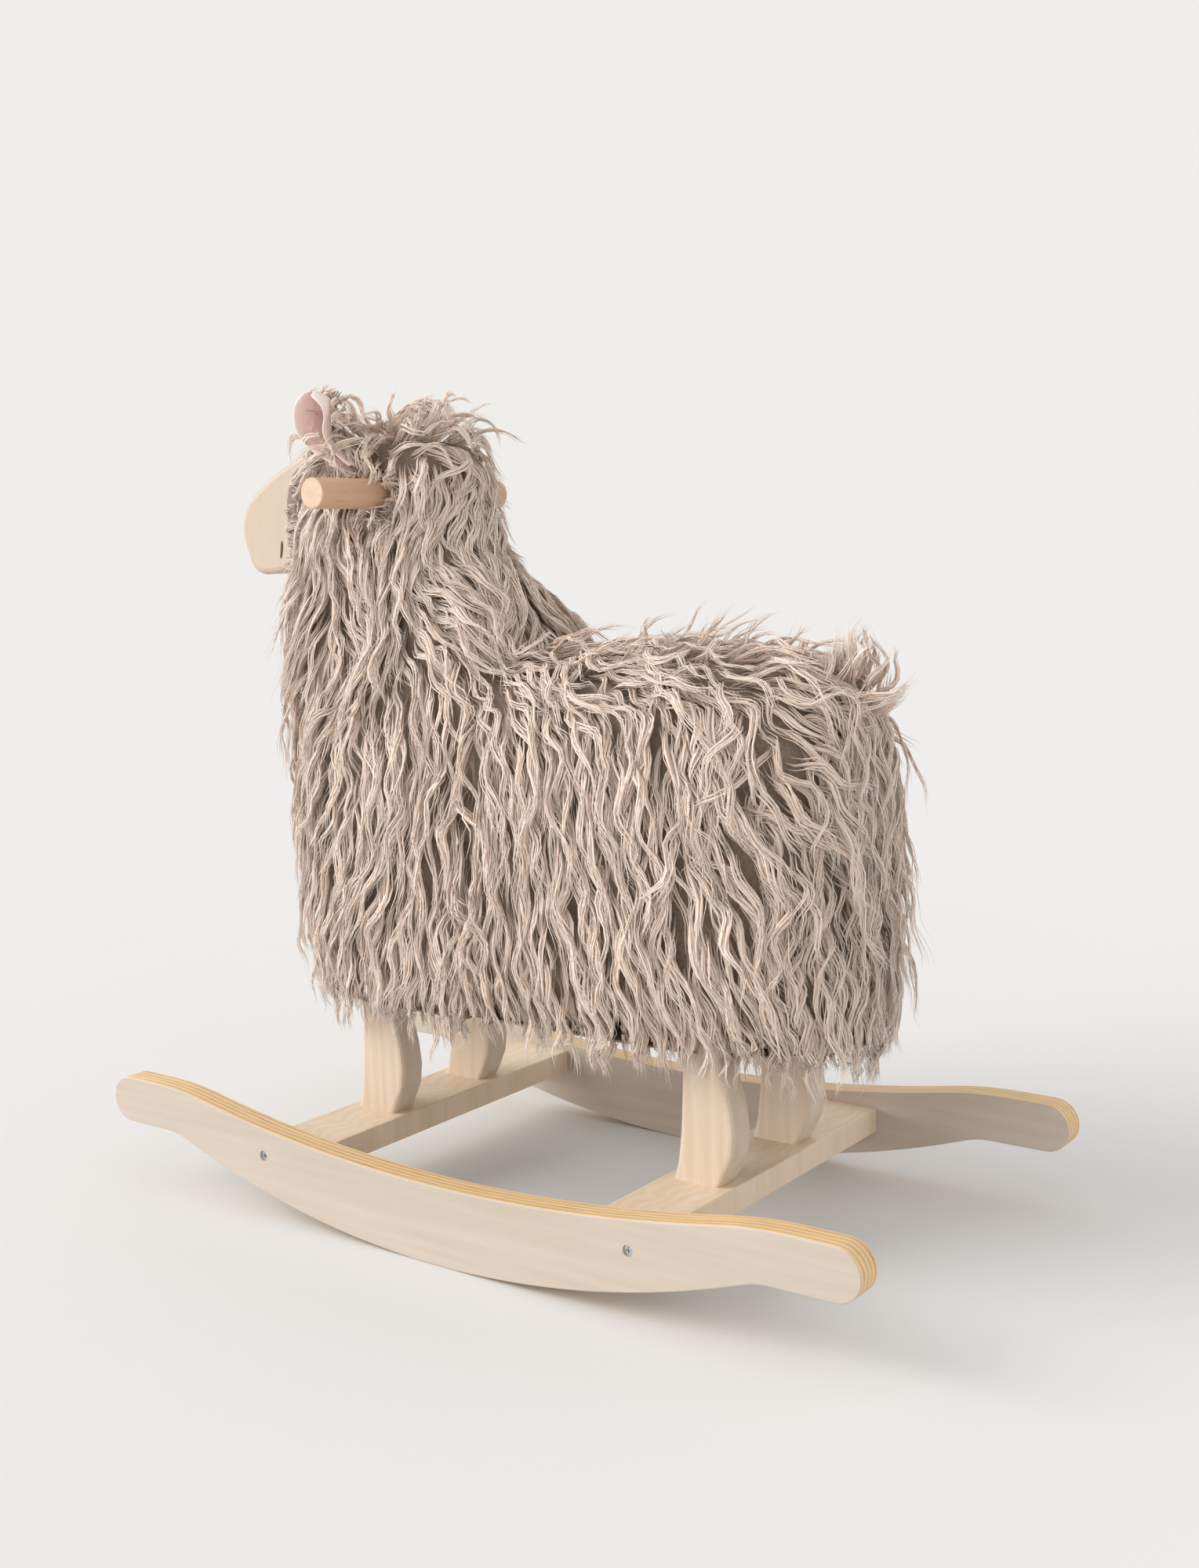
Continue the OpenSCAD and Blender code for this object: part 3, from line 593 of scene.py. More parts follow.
# %% Backing
BACKING_DEPTH = 0.011
backing = joined(parts, "knitted_backing")
edit(backing)
bpy.ops.mesh.remove_doubles(threshold=0.00002)
leave_edit()
backing.data.remesh_voxel_size = 0.005
backing.data.remesh_voxel_adaptivity = 0
choose(backing)
bpy.ops.object.voxel_remesh()
use_modifier(backing, "SMOOTH", factor=0.5, iterations=6)
use_modifier(backing, "DISPLACE", strength=-BACKING_DEPTH, mid_level=0.0)
use_modifier(backing, "SMOOTH", factor=0.5, iterations=6)
choose(backing)
bpy.ops.object.shade_smooth()
print("backing:", len(backing.data.vertices), "points")

# %% [markdown]
# ## How the pile grows
# The real pile is a long-haired plush: yarn tufts knitted into the backing, crimped into waves
# and lying over each other in locks. Particle hair would give the look, but it is no mesh and
# doesn't leave Blender, so the locks are grown here as meshes. Points are scattered evenly over
# the backing. From each one a guide line creeps over the surface in short steps: it follows a
# field of combing directions, keeps to a wanted height above the backing, and hangs straight
# down once it has passed the hem. Smooth noise turns the combing a little, so neighbours curl
# together as locks do. First come the noise and two small formulas that everything uses.

# %% Smooth noise
def smooth_noise(seed, shortest, longest, count=28):
    """A smooth random field in space: a sum of plane waves between two wavelengths, in metres."""
    rng = np.random.default_rng(seed)
    ways = rng.normal(size=(count, 3))
    ways /= np.linalg.norm(ways, axis=1)[:, None]
    ways *= (2 * math.pi / rng.uniform(shortest, longest, count))[:, None]
    phase = rng.uniform(0, 2 * math.pi, count)
    return lambda p: np.cos(p @ ways.T + phase).sum(-1) * math.sqrt(2 / count)


def unit(v):
    return v / np.maximum(np.linalg.norm(v, axis=-1, keepdims=True), 1e-9)


def rise(value, start, end):
    """0 before start, 1 after end, and smooth between them."""
    t = np.clip((value - start) / (end - start), 0, 1)
    return t * t * (3 - 2 * t)


print("rise halfway:", rise(0.5, 0, 1))

# %% [markdown]
# A search tree answers the two questions that a growing lock asks at each step: where is the
# nearest spot of the backing, and how high above it am I?

# %% Nearest spot on a surface
def surface_of(obj):
    mesh = obj.data
    return BVHTree.FromPolygons([v.co for v in mesh.vertices], [p.vertices for p in mesh.polygons])


def nearest_on(tree, points):
    """Nearest surface points, their normals and the points' heights over them."""
    spots, normals = np.empty_like(points), np.empty_like(points)
    for i, p in enumerate(points):
        spot, normal, _, _ = tree.find_nearest(Vector(p))
        spots[i], normals[i] = spot, normal
    return spots, normals, ((points - spots) * normals).sum(-1)


backing_tree = surface_of(backing)
_, _, gap = nearest_on(backing_tree, np.array([[0.0, 0.16, 0.3]]))
print("a point beside the barrel is", round(gap[0], 3), "m off the backing")

# %% [markdown]
# Points that are only random make bald spots and knots. So many more are thrown than are needed,
# and each is kept only if no kept one is closer than the spacing. Sorting them into cells as big
# as the spacing means that only the 27 cells around a point have to be searched.

# %% Scattering roots
THROWS = 7


def thrown_on(obj, spacing, seed):
    """Random points over a mesh, by area, with the normals of their faces."""
    mesh = obj.data
    mesh.calc_loop_triangles()
    corners = np.array([t.vertices for t in mesh.loop_triangles])
    flats = np.array([t.normal for t in mesh.loop_triangles])
    co = points_of(obj)
    a, b, c = co[corners[:, 0]], co[corners[:, 1]], co[corners[:, 2]]
    area = np.linalg.norm(np.cross(b - a, c - a), axis=1) / 2
    rng = np.random.default_rng(seed)
    count = int(area.sum() / spacing ** 2 * THROWS)
    pick = rng.choice(len(area), count, p=area / area.sum())
    u, v = rng.random((2, count))
    over = u + v > 1
    u[over] = 1 - u[over]
    v[over] = 1 - v[over]
    spots = a[pick] + (b - a)[pick] * u[:, None] + (c - a)[pick] * v[:, None]
    return spots, flats[pick]


def scatter(obj, spacing, keep, seed):
    """Points spread evenly over a mesh, none closer to another than the spacing."""
    spots, normals = thrown_on(obj, spacing, seed)
    wanted = keep(spots, normals)
    spots, normals = spots[wanted], normals[wanted]
    cells, chosen = {}, []
    keys = np.floor(spots / spacing).astype(int)
    around = [(i, j, k) for i in (-1, 0, 1) for j in (-1, 0, 1) for k in (-1, 0, 1)]
    for n, (x, y, z) in enumerate(keys):
        close = [m for i, j, k in around for m in cells.get((x + i, y + j, z + k), ())]
        if close and (np.linalg.norm(spots[close] - spots[n], axis=1) < spacing).any():
            continue
        cells.setdefault((x, y, z), []).append(n)
        chosen.append(n)
    return spots[chosen], normals[chosen]


print(THROWS, "throws for each square of the spacing")

# %% [markdown]
# ## Combing
# The coat was brushed before it was packed. On the flanks it hangs down, leaning back more and
# more towards the rump. On the shoulders and the neck it is swept back, along the back it runs
# to the rear and out to both sides, and on the crown it falls outwards. Each of these is a
# direction with a soft edge, and they are added up. Heights and lengths are in metres.

# %% The combing directions
LEAN_AT = (-0.24, -0.14, -0.02, 0.08, 0.17, 0.24)
LEAN = (-0.7, -0.4, -0.08, 0.06, 0.12, 0.15)


def swept_back(x, z):
    """How far the shoulders and the neck are swept back: none of it reaches the chest's front."""
    low_shoulder = 0.28 * rise(z, 0.28, 0.38) * rise(x, -0.02, 0.05)
    band = rise(z, 0.34, 0.40) * (1 - rise(z, 0.42, 0.46))
    saddle = 0.60 * band * rise(x, -0.09, -0.01) * rise(0.13 - x, 0, 0.08)
    neck = (0.34 + 0.50 * rise(0.13 - x, 0, 0.07)) * rise(z, 0.38, 0.44) * (1 - rise(z, 0.485, 0.525))
    return (low_shoulder + saddle + neck) * rise(0.23 - x, 0, 0.06)


def pull(amount, back, out, side):
    """A direction to the rear and out to the animal's own side, as strong as the amount."""
    return amount[:, None] * np.stack([back + 0 * side, out * side, 0 * side], axis=1)


def comb(p, n):
    """The way the pile is combed at points p of the body, where the backing faces n."""
    x, y, z = p[:, 0], p[:, 1], p[:, 2]
    side = np.tanh(y / 0.02)
    lean = np.interp(x, LEAN_AT, LEAN)
    lean = lean * (1 - 0.5 * rise(0.33 - z, 0, 0.10) * rise(-x, 0.06, 0.12))
    lean -= swept_back(x, z) * (1 - 0.5 * rise(z, 0.49, 0.53))
    lean += 0.14 * rise(x, 0.19, 0.22) * rise(z, 0.47, 0.50)
    way = np.stack([lean, 0 * x, -np.ones_like(x)], axis=1)
    way += pull(rise(z, 0.38, 0.425) * rise(-x, -0.03, 0.02), -0.75, 0.85, side)
    withers = rise(z, 0.40, 0.45) * rise(-x, -0.07, -0.02) * rise(x, -0.06, -0.01)
    way += pull(withers, -0.3, 0.4, side)
    mane = rise(z, 0.39, 0.45) * rise(0.14 - x, 0, 0.07) * (1 - rise(z, 0.475, 0.515))
    way += pull(mane, -0.55, 0.25, side)
    crown = rise(z, 0.568, 0.592)
    outward = unit(np.stack([0.35 * (x - 0.13), y, 0 * x], axis=1))
    way += crown[:, None] * outward * 0.9
    return way


mid_flank = np.array([[0.0, 0.11, 0.28]])
print("combed at mid flank:", np.round(unit(comb(mid_flank, None))[0], 2))

# %% [markdown]
# ## A growing guide
# Each guide starts a little upright, as a tuft does, and turns into the combed direction. At
# every step it looks up the surface below it, climbs or sinks towards its wanted height, keeps
# part of its last heading so that it bends softly, and gives in to its weight near the hem.

# %% Growing guides
HEM_Z = 0.150
STEPS = 16
KEEP_HEADING = 0.45


def combed_push(p, near, h, wanted, step, way_at, angle):
    """The direction of a guide's next step: combed along the surface, and up or down to its height."""
    flat = way_at(p, near)
    flat = unit(flat - (flat * near).sum(-1, keepdims=True) * near)
    turned = np.cross(near, flat)
    flat = flat * np.cos(angle)[:, None] + turned * np.sin(angle)[:, None]
    lift = np.clip((wanted - h) / step, -0.9, 1.3)
    return unit(flat + near * lift[:, None])


def grow(tree, roots, normals, length, height, way_at, twist, stand=0.0, tangle=0.0, hem=HEM_Z):
    """Guide lines from the roots: their points and the directions away from the backing."""
    p, n = roots.copy(), normals.copy()
    heading = unit(n * 0.8 + unit(way_at(p, n)) * 0.6)
    path, away = [p.copy()], [n.copy()]
    step = length / STEPS
    travelled = np.zeros(len(p))
    for _ in range(STEPS):
        _, near, h = nearest_on(tree, p)
        near = unit(0.5 * n + 0.5 * near)
        wanted = height * (1 - np.exp(-travelled / 0.016)) + 0.0015 + stand * travelled
        push = combed_push(p, near, h, wanted, step, way_at, twist(p) + tangle)
        hang = rise(hem + 0.030 - p[:, 2], 0, 0.022)[:, None]
        push = unit(push * (1 - hang) + hang * np.array([0, 0, -1.0]))
        heading = unit(KEEP_HEADING * heading + (1 - KEEP_HEADING) * push)
        p = p + heading * step[:, None]
        n = near
        travelled = travelled + step
        path.append(p.copy())
        away.append(near.copy())
    return np.stack(path, 1), np.stack(away, 1)


print("a guide has", STEPS + 1, "points")

# %% [markdown]
# ## One strand
# A strand is a few fibres that cling together: a slim three-sided tube that ends in a point. It
# is modelled once, from a three-sided cylinder of height 1 that is cut into rings, and copied
# along every guide. Tens of thousands of copies are needed, so it has only a few dozen faces.

# %% The strand
RINGS = 10
deselect()
bpy.ops.mesh.primitive_cylinder_add(vertices=3, radius=0.5, depth=1, location=(0, 0, 0.5))
strand = newest("strand_pattern")
settle(strand)
edit(strand)
for k in range(1, RINGS - 1):
    bpy.ops.mesh.select_all(action="SELECT")
    bpy.ops.mesh.bisect(plane_co=(0, 0, k / (RINGS - 1)), plane_no=(0, 0, 1))
bpy.ops.mesh.select_all(action="DESELECT")
bm = bmesh.from_edit_mesh(strand.data)
for vert in bm.verts:
    vert.select_set(vert.co.z > 0.999)
bm.select_flush(True)
bmesh.update_edit_mesh(strand.data)
bpy.ops.mesh.merge(type="CENTER")
bpy.ops.mesh.select_all(action="SELECT")
bpy.ops.mesh.normals_make_consistent(inside=False)
leave_edit()
print("one strand:", len(strand.data.vertices), "points,", triangles(strand), "triangles")

# %% [markdown]
# The pattern is kept as arrays: for each point the ring it belongs to, and for each face its
# points. The object itself isn't needed any more.

# %% The strand as a pattern
pattern = points_of(strand)
pattern_ring = np.rint(pattern[:, 2] * (RINGS - 1)).astype(int)
pattern_faces = [tuple(p.vertices) for p in strand.data.polygons]
pattern_loops = np.array([v for face in pattern_faces for v in face])
pattern_sizes = np.array([len(face) for face in pattern_faces])
bpy.data.objects.remove(strand)
print("points in each ring:", np.bincount(pattern_ring))

# %% [markdown]
# ## A lot of strands
# Every guide is the middle of a lock, and carries several strands: the first is the lock's broad
# core, about a third are fine fibres, and all but the core start within the pile. A lot holds
# what the following cells share: which lock each strand belongs to, what kind it is, how far
# along the guide its rings sit, and one random generator that is used in order.

# %% Lots of strands
def along(track, where):
    """A track of guide points, read at fractional places."""
    last = track.shape[1] - 1
    at = np.clip(where * last, 0, last - 1e-6)
    low = at.astype(int)
    part = (at - low)[..., None]
    rows = np.arange(len(track))[:, None]
    return track[rows, low] * (1 - part) + track[rows, low + 1] * part


class Lot:
    """Strands on guides: the frame of every ring, and which strands are cores or fine."""

    def __init__(self, path, away, length, seed, per_lock):
        self.rng = rng = np.random.default_rng(seed)
        self.roots = path[:, 0]
        self.locks = len(path)
        self.per_lock = per_lock
        self.total = self.locks * per_lock
        owner = self.each(np.arange(self.locks))
        place = np.arange(self.total) % per_lock
        self.core = place == 0
        self.fine = place > per_lock * 0.62
        self.tau = np.linspace(0, 1, RINGS)
        start = np.where(self.core, 0, rng.uniform(0.02, 0.28, self.total))
        reach = self.each(rng.uniform(0.88, 1.0, self.locks)) * rng.uniform(0.80, 1.0, self.total)
        self.where = start[:, None] + (reach - start)[:, None] * self.tau[None, :]
        self.centre = along(path[owner], self.where)
        self.s = self.where * length[owner][:, None]
        self.face_to(unit(along(away[owner], self.where)))

    def each(self, per_lock_values):
        """One value of a lock, given to each of its strands."""
        return np.repeat(per_lock_values, self.per_lock)

    def face_to(self, up):
        """Turns every ring square to its strand, with one axis along the backing."""
        self.run = unit(np.gradient(self.centre, axis=1))
        self.side = unit(np.cross(self.run, up))
        self.up = np.cross(self.side, self.run)


track = np.array([[[0, 0, 0], [0, 0, 1.0]]])
print("halfway along a straight track:", along(track, np.array([[0.5]]))[0, 0])

# %% [markdown]
# ## The waves
# Crimped yarn waves in two scales: the whole lock swings, and every strand has a small wave of
# its own on top. The first few millimetres from the root stay straight.

# %% Waves
LOCK_WAVE, LOCK_WAVELENGTH = 0.0036, 0.047


def lock_wave(lot, wave, wavelength, phase_of):
    rng = lot.rng
    size = lot.each(rng.uniform(0.55, 1.45, lot.locks))[:, None]
    lam = lot.each(wavelength * rng.uniform(0.85, 1.2, lot.locks))[:, None]
    phase = lot.each(phase_of(lot.roots) + rng.normal(0, 0.45, lot.locks))[:, None]
    phase = phase + rng.normal(0, 0.2, lot.total)[:, None]
    curl = wave * size * rise(lot.s, 0.004, 0.030)
    angle = 2 * math.pi * lot.s / lam + phase
    return (lot.side * (curl * np.sin(angle))[..., None]
            + lot.up * (0.4 * curl * np.cos(angle + 0.6))[..., None])


def own_wave(lot):
    rng = lot.rng
    lam = rng.uniform(0.030, 0.050, lot.total)[:, None]
    size = rng.uniform(0.0002, 0.0008, lot.total)[:, None] * rise(lot.s, 0.004, 0.030)
    angle = 2 * math.pi * lot.s / lam + rng.uniform(0, 2 * math.pi, lot.total)[:, None]
    return (lot.side * (size * np.sin(angle))[..., None]
            + lot.up * (0.6 * size * np.cos(angle))[..., None])


print("a lock swings", 1000 * LOCK_WAVE, "mm to each side, every", 1000 * LOCK_WAVELENGTH, "mm")

# %% [markdown]
# ## Strands within a lock
# The strands of a lock start apart and close up towards its tip, as wet-looking yarn ends do.
# Their very ends fray again: most only a little, and about one in twelve a lot.

# %% Spread and fray
CLOSED, FRAY = 0.22, 0.004


def place_in_lock(lot, spread):
    radius = spread * np.sqrt(lot.rng.random(lot.total)) * np.where(lot.core, 0.1, 1)
    turn_at = lot.rng.uniform(0, 2 * math.pi, lot.total)
    close = (1 - CLOSED) * (1 - np.minimum(lot.where * 1.15, 1)) ** 1.1 + CLOSED
    return (lot.side * (radius * np.cos(turn_at))[:, None, None] * close[..., None]
            + lot.up * (0.42 * radius * np.sin(turn_at))[:, None, None] * close[..., None])


def frayed_end(lot):
    wild = np.where(lot.rng.random(lot.total) < 0.08, 2.6, 0.9) * np.where(lot.core, 0.3, 1)
    stray = lot.rng.normal(0, 1, (lot.total, 2)) * (FRAY * wild)[:, None] * 0.5
    return ((lot.side * stray[:, None, :1] + lot.up * np.abs(stray[:, None, 1:]))
            * (lot.tau ** 2)[None, :, None])


print("a lock closes to", CLOSED, "of its width")

# %% [markdown]
# ## Thickness
# A strand is a ribbon more than a thread: flat to the body, widest a quarter of the way along,
# and drawn out to a point. The core is half as wide again, and the fine fibres half as wide and
# rounder. The pattern's two sides are stretched to that width and depth at each ring.

# %% Thickness
STRAND_WIDTH = 0.0017
GIRTH_AT, GIRTH = (0, 0.25, 0.6, 1), (0.3, 1, 0.75, 0.05)


def thickened(lot):
    """The pattern's points at every ring of every strand."""
    lay = lot.rng.uniform(-0.6, 0.6, lot.total)[:, None] * (1 - 0.7 * lot.core)[:, None]
    lay = lay + np.zeros_like(lot.where)
    flat = lot.side * np.cos(lay)[..., None] + lot.up * np.sin(lay)[..., None]
    thick = np.cross(lot.run, flat)
    girth = STRAND_WIDTH * lot.rng.uniform(0.75, 1.3, lot.total) * np.where(
        lot.core, 1.5, np.where(lot.fine, 0.48, 1))
    girth = girth[:, None] * np.interp(lot.tau, GIRTH_AT, GIRTH)
    depth = girth * np.where(lot.fine, 0.7, 0.42)[:, None]
    across = flat[:, pattern_ring] * (pattern[:, 0] * girth[:, pattern_ring])[..., None]
    proud = thick[:, pattern_ring] * (pattern[:, 1] * depth[:, pattern_ring])[..., None]
    return lot.centre[:, pattern_ring] + across + proud


print("girth along a strand:", list(zip(GIRTH_AT, GIRTH)))

# %% [markdown]
# ## Strands along guides
# The steps are put together here. The frame of a strand is turned once more after its waves, so
# that the tube stays square to the curl. Each strand also gets a tone between 0 and 1: locks
# differ, cores are a shade darker and fine fibres lighter.

# %% Strands along guides
def strands_on(path, away, length, seed, phase_of, tone_of, per_lock=9, spread=0.0054,
               wave=LOCK_WAVE, wavelength=LOCK_WAVELENGTH):
    """Points of every strand on the guides, as an array (strand, pattern point, xyz), their tones,
    and how far along the guide each of those points sits."""
    lot = Lot(path, away, length, seed, per_lock)
    shift = lock_wave(lot, wave, wavelength, phase_of)
    shift += own_wave(lot)
    shift += place_in_lock(lot, spread)
    shift += frayed_end(lot)
    lot.centre = lot.centre + shift
    lot.face_to(lot.up)
    points = thickened(lot)
    tone = lot.each(tone_of(lot.roots) * 0.13 + lot.rng.normal(0.5, 0.12, lot.locks))
    tone = tone + lot.rng.normal(0, 0.12, lot.total) - 0.08 * lot.core + 0.12 * lot.fine
    return points, np.clip(tone, 0, 0.999), lot.where[:, pattern_ring]


print("each strand gets", len(pattern), "points")

# %% [markdown]
# ## Pieces of pile
# Adding tens of thousands of copies with operators would take hours, so the mesh of a piece is
# filled from arrays: points, corners and faces. Its UV map runs from root to tip in V, and in U
# it picks one of 64 narrow columns by the strand's tone. All of it rides on the one body, and
# stands for the CAD coat.

# %% Making a piece of pile
TONES = 64


def strand_mesh(name, points):
    """A mesh of strands from their points, with smooth faces."""
    count, size = points.shape[:2]
    mesh = bpy.data.meshes.new(name)
    mesh.vertices.add(count * size)
    mesh.vertices.foreach_set("co", points.astype(np.float32).ravel())
    corners = (pattern_loops[None, :] + np.arange(count)[:, None] * size).ravel()
    mesh.loops.add(len(corners))
    mesh.loops.foreach_set("vertex_index", corners.astype(np.int32))
    sizes = np.tile(pattern_sizes, count)
    mesh.polygons.add(len(sizes))
    starts = np.concatenate([[0], np.cumsum(sizes)[:-1]])
    mesh.polygons.foreach_set("loop_start", starts.astype(np.int32))
    mesh.update(calc_edges=True)
    mesh.polygons.foreach_set("use_smooth", np.ones(len(sizes), dtype=bool))
    return mesh


def pile_piece(name, points, tone, from_root, replaced, finish):
    mesh = strand_mesh(name, points)
    column = (np.floor(tone * TONES)[:, None] + 0.5 + 0.8 * pattern[None, pattern_loops, 0]) / TONES
    row = 0.01 + 0.98 * from_root[:, pattern_loops]
    layer = mesh.uv_layers.new(name="pile")
    layer.data.foreach_set("uv", np.stack([column, row], -1).astype(np.float32).ravel())
    obj = bpy.data.objects.new(name, mesh)
    bpy.context.collection.objects.link(obj)
    dress(obj, finish)
    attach(obj, "root")
    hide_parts(replaced)
    return obj


print("tones:", TONES)

# %% [markdown]
# ## The colour of the pile
# Each fibre is creamy at its tip and grows darker towards its root. That darkening is painted shade,
# standing in for the depth between the locks. The ramp over V gives that painted shade, and the ramp
# over U the tone of the lock. Fine streaks along the strand stand for the single hairs in it, and a warm
# sheen for the light that glances off.

# %% Pile material
pile_look = Finish("greige_pile", 0.62)
uv_parts = pile_look.add("ShaderNodeSeparateXYZ", {"Vector": pile_look.place(source="UV")})
# painted shade: the colour darkens towards the root, for the shade deep between the locks
painted_root_shade = pile_look.ramp(uv_parts.outputs["Y"], [
    (0.0, (0.60, 0.47, 0.38, 1)), (0.22, (0.86, 0.71, 0.60, 1)), (0.5, (0.98, 0.83, 0.72, 1)),
    (1.0, (0.99, 0.88, 0.79, 1))])
tone_colour = pile_look.ramp(uv_parts.outputs["X"], [
    (0.0, (0.78, 0.75, 0.72, 1)), (0.3, (0.97, 0.96, 0.95, 1)), (1.0, WHITE)])
hairs = pile_look.noise(pile_look.place((420, 4, 1), source="UV"), 1.0, 2)
hair_colour = pile_look.ramp(hairs, [(0.3, (0.86, 0.83, 0.80, 1)), (0.5, WHITE)])
pile_look.colour(pile_look.mix(0.8, pile_look.mix(1.0, painted_root_shade, tone_colour, "MULTIPLY"),
                               hair_colour, "MULTIPLY"))
pile_look.sheen(0.6, 0.4, (1.0, 0.96, 0.91, 1))
pile_look.shader.inputs["Specular IOR Level"].default_value = 0.3
print("pile material:", len(pile_look.tree.nodes), "nodes")

# %% [markdown]
# The backing is seen only in the gaps between the locks. It is a taupe knit, kept dark so that it paints
# the shade deep in the pile: one noise stretched upwards gives both its loops and their bumps.

# %% Backing material
knit_with_painted_shade = Finish("knitted_backing", 0.9)
loops_noise = knit_with_painted_shade.noise(knit_with_painted_shade.place((1, 1, 0.5)), 700, 3)
# painted shade: the knit's dark taupe stands for the shade in the gaps between the locks
knit_with_painted_shade.colour(knit_with_painted_shade.ramp(loops_noise, [(0.3, rgb(122, 107, 95)), (0.7, rgb(152, 135, 120))]))
knit_with_painted_shade.bump(loops_noise, 0.5, 0.001)
dress(backing, knit_with_painted_shade)
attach(backing, "root")
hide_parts(*SOFT_NODES)
print("backing dressed:", triangles(backing), "triangles")

# %% [markdown]
# ## Roots of the coat
# Tufts grow all over the backing except underneath, where the face block comes out, and where
# the handle bar goes through. Each rule below looks at a spot's place, and at where it faces.

# %% Where the coat grows
HANDLE_X, HANDLE_Z = 0.151, 0.538


def on_coat(spots, normals):
    x, y, z = spots.T
    underneath = (z < 0.163) & (normals[:, 2] < -0.35)
    face_room = (x > 0.238) & (np.abs(y) < 0.024) & (z > 0.465)
    bar_room = (np.hypot(x - HANDLE_X, z - HANDLE_Z) < 0.014) & (np.abs(normals[:, 1]) > 0.6)
    behind_face = (np.abs(y) < 0.024) & (z > 0.44) & (x > 0.22) & (normals[:, 0] < 0.2)
    return ~(underneath | face_room | bar_room | behind_face)


def on_neck(spots, normals):
    return on_coat(spots, normals) & (spots[:, 2] > 0.43)


def on_back(spots, normals):
    return (spots[:, 0] < 0.0) & (spots[:, 2] > 0.33)


def on_head(spots, normals):
    return on_coat(spots, normals) & (spots[:, 2] > 0.53)


hip = (np.array([[-0.1, 0.12, 0.3]]), np.array([[0.0, 1.0, 0.0]]))
print("hair on the hip:", bool(on_coat(*hip)[0]), "and a second layer:", bool(on_back(*hip)[0]))

# %% [markdown]
# One even layer would leave the backing bare on the neck, the back and the crown, where the locks
# part, so these get a second, shorter layer under the first. A root's normal is read a little way
# off the backing, where small dents no longer turn it.

# %% Roots of the coat
layers = [scatter(backing, 0.0100, on_coat, 11), scatter(backing, 0.0100, on_neck, 12),
          scatter(backing, 0.0112, on_back, 13), scatter(backing, 0.0080, on_head, 14)]
under = np.repeat([0, 1, 1, 0.6], [len(spots) for spots, _ in layers])
roots = np.concatenate([spots for spots, _ in layers])
root_normals = np.concatenate([normals for _, normals in layers])
_, root_normals, _ = nearest_on(backing_tree, roots + root_normals * 0.004)
x, y, z = roots.T
n_roots = len(roots)
print("roots in each layer:", [len(spots) for spots, _ in layers])

# %% [markdown]
# ## How long and how high
# A lock is about 10 cm long, shorter on the head and beside the face, and near the hem it is
# cut to end a little below it. Its height above the backing differs from lock to lock, so that
# they overlap: a third lie on top. The nape lies flat. On the back and the crown some stand up.

# %% Length and height of the locks
LENGTH = 0.102
rng = np.random.default_rng(5)
head = rise(z, 0.53, 0.57)
length = LENGTH * rng.uniform(0.85, 1.15, n_roots)
length *= 1 - 0.22 * head
length *= 1 - 0.35 * rise(x, 0.2, 0.24) * rise(z, 0.48, 0.52)
low = rise(0.245 - z, 0, 0.06)
hem_at = np.interp(x, (-0.25, -0.1, 0.05, 0.2), (0.146, 0.150, 0.158, 0.168))
to_hem = np.maximum(z - hem_at, 0.010) + 0.034 * rng.random(n_roots) ** 1.5
length = length * (1 - low) + low * to_hem
top_lock = rng.random(n_roots) < 0.3
height = np.where(top_lock, rng.uniform(0.010, 0.014, n_roots), rng.uniform(0.004, 0.009, n_roots))
height = height + head * rng.uniform(0.004, 0.012, n_roots)
height = height + rise(z, 0.558, 0.58) * rng.uniform(0.000, 0.028, n_roots)
back_top = rise(z, 0.395, 0.412) * rise(-x, 0.0, 0.04)
height = height + back_top * rng.uniform(0, 0.008, n_roots)
nape = rise(0.125 - x, 0, 0.03) * rise(z, 0.47, 0.51)
height = height * (1 - 0.8 * nape)
print("height of the locks:", round(height.min(), 4), "to", round(height.max(), 4))

# %% [markdown]
# A tuft is a short lock that stands up from the back, and a few loose locks stand off all over
# the coat, as they do on any brushed animal. The layer underneath is shorter and lies low.

# %% Tufts, loose locks and the under layer
tuft = back_top * (rng.random(n_roots) < 0.22)
loose = (rng.random(n_roots) < 0.06) * rise(z, 0.2, 0.25) * (1 - nape)
crown_tuft = 0.28 * rise(z, 0.565, 0.585) * (rng.random(n_roots) < 0.5) * (1 - nape)
stand = 0.42 * tuft + 0.16 * loose + crown_tuft
length *= 1 - 0.15 * nape
length *= 1 - 0.40 * tuft
length *= 1 - 0.42 * under
height = height * (1 - 0.45 * under) + 0.002 + 0.004 * rise(x, 0.19, 0.22) * rise(z, 0.46, 0.50)
stand = stand * (1 - under)
print("locks that stand up:", int((stand > 0).sum()))

# %% [markdown]
# ## Curls and tangles
# Neighbours curl together, because the noise that turns the combing is smooth in space. It is
# weak on the flanks and strong on the crown. By the near hip there is a whorl where the hair is
# tangled, and there each lock also gets a turn of its own.

# %% Curls and tangles
calm = smooth_noise(21, 0.09, 0.20)
busy = smooth_noise(22, 0.05, 0.10)
phase_field = smooth_noise(23, 0.07, 0.16)
tone_field = smooth_noise(24, 0.03, 0.09)
WHORL = np.array([-0.205, 0.08, 0.365])


def body_twist(p):
    unrest = 0.15 + 0.24 * rise(p[:, 2], 0.34, 0.41) - 0.16 * rise(p[:, 2], 0.43, 0.47)
    unrest += 0.4 * rise(p[:, 2], 0.54, 0.58)
    return unrest * (0.5 * calm(p) + 0.7 * busy(p))


near_whorl = np.exp(-((roots - WHORL) ** 2).sum(-1) / 0.05 ** 2)
tangled = 0.10 + 0.22 * back_top + 0.5 * near_whorl + 0.5 * rise(z, 0.55, 0.58)
tangle = rng.normal(0, 1, n_roots) * tangled
print("tangle in degrees:", round(math.degrees(np.abs(tangle).mean()), 1))

# %% [markdown]
# ## Growing the coat
# Now the guides grow, and the strands are laid along them.

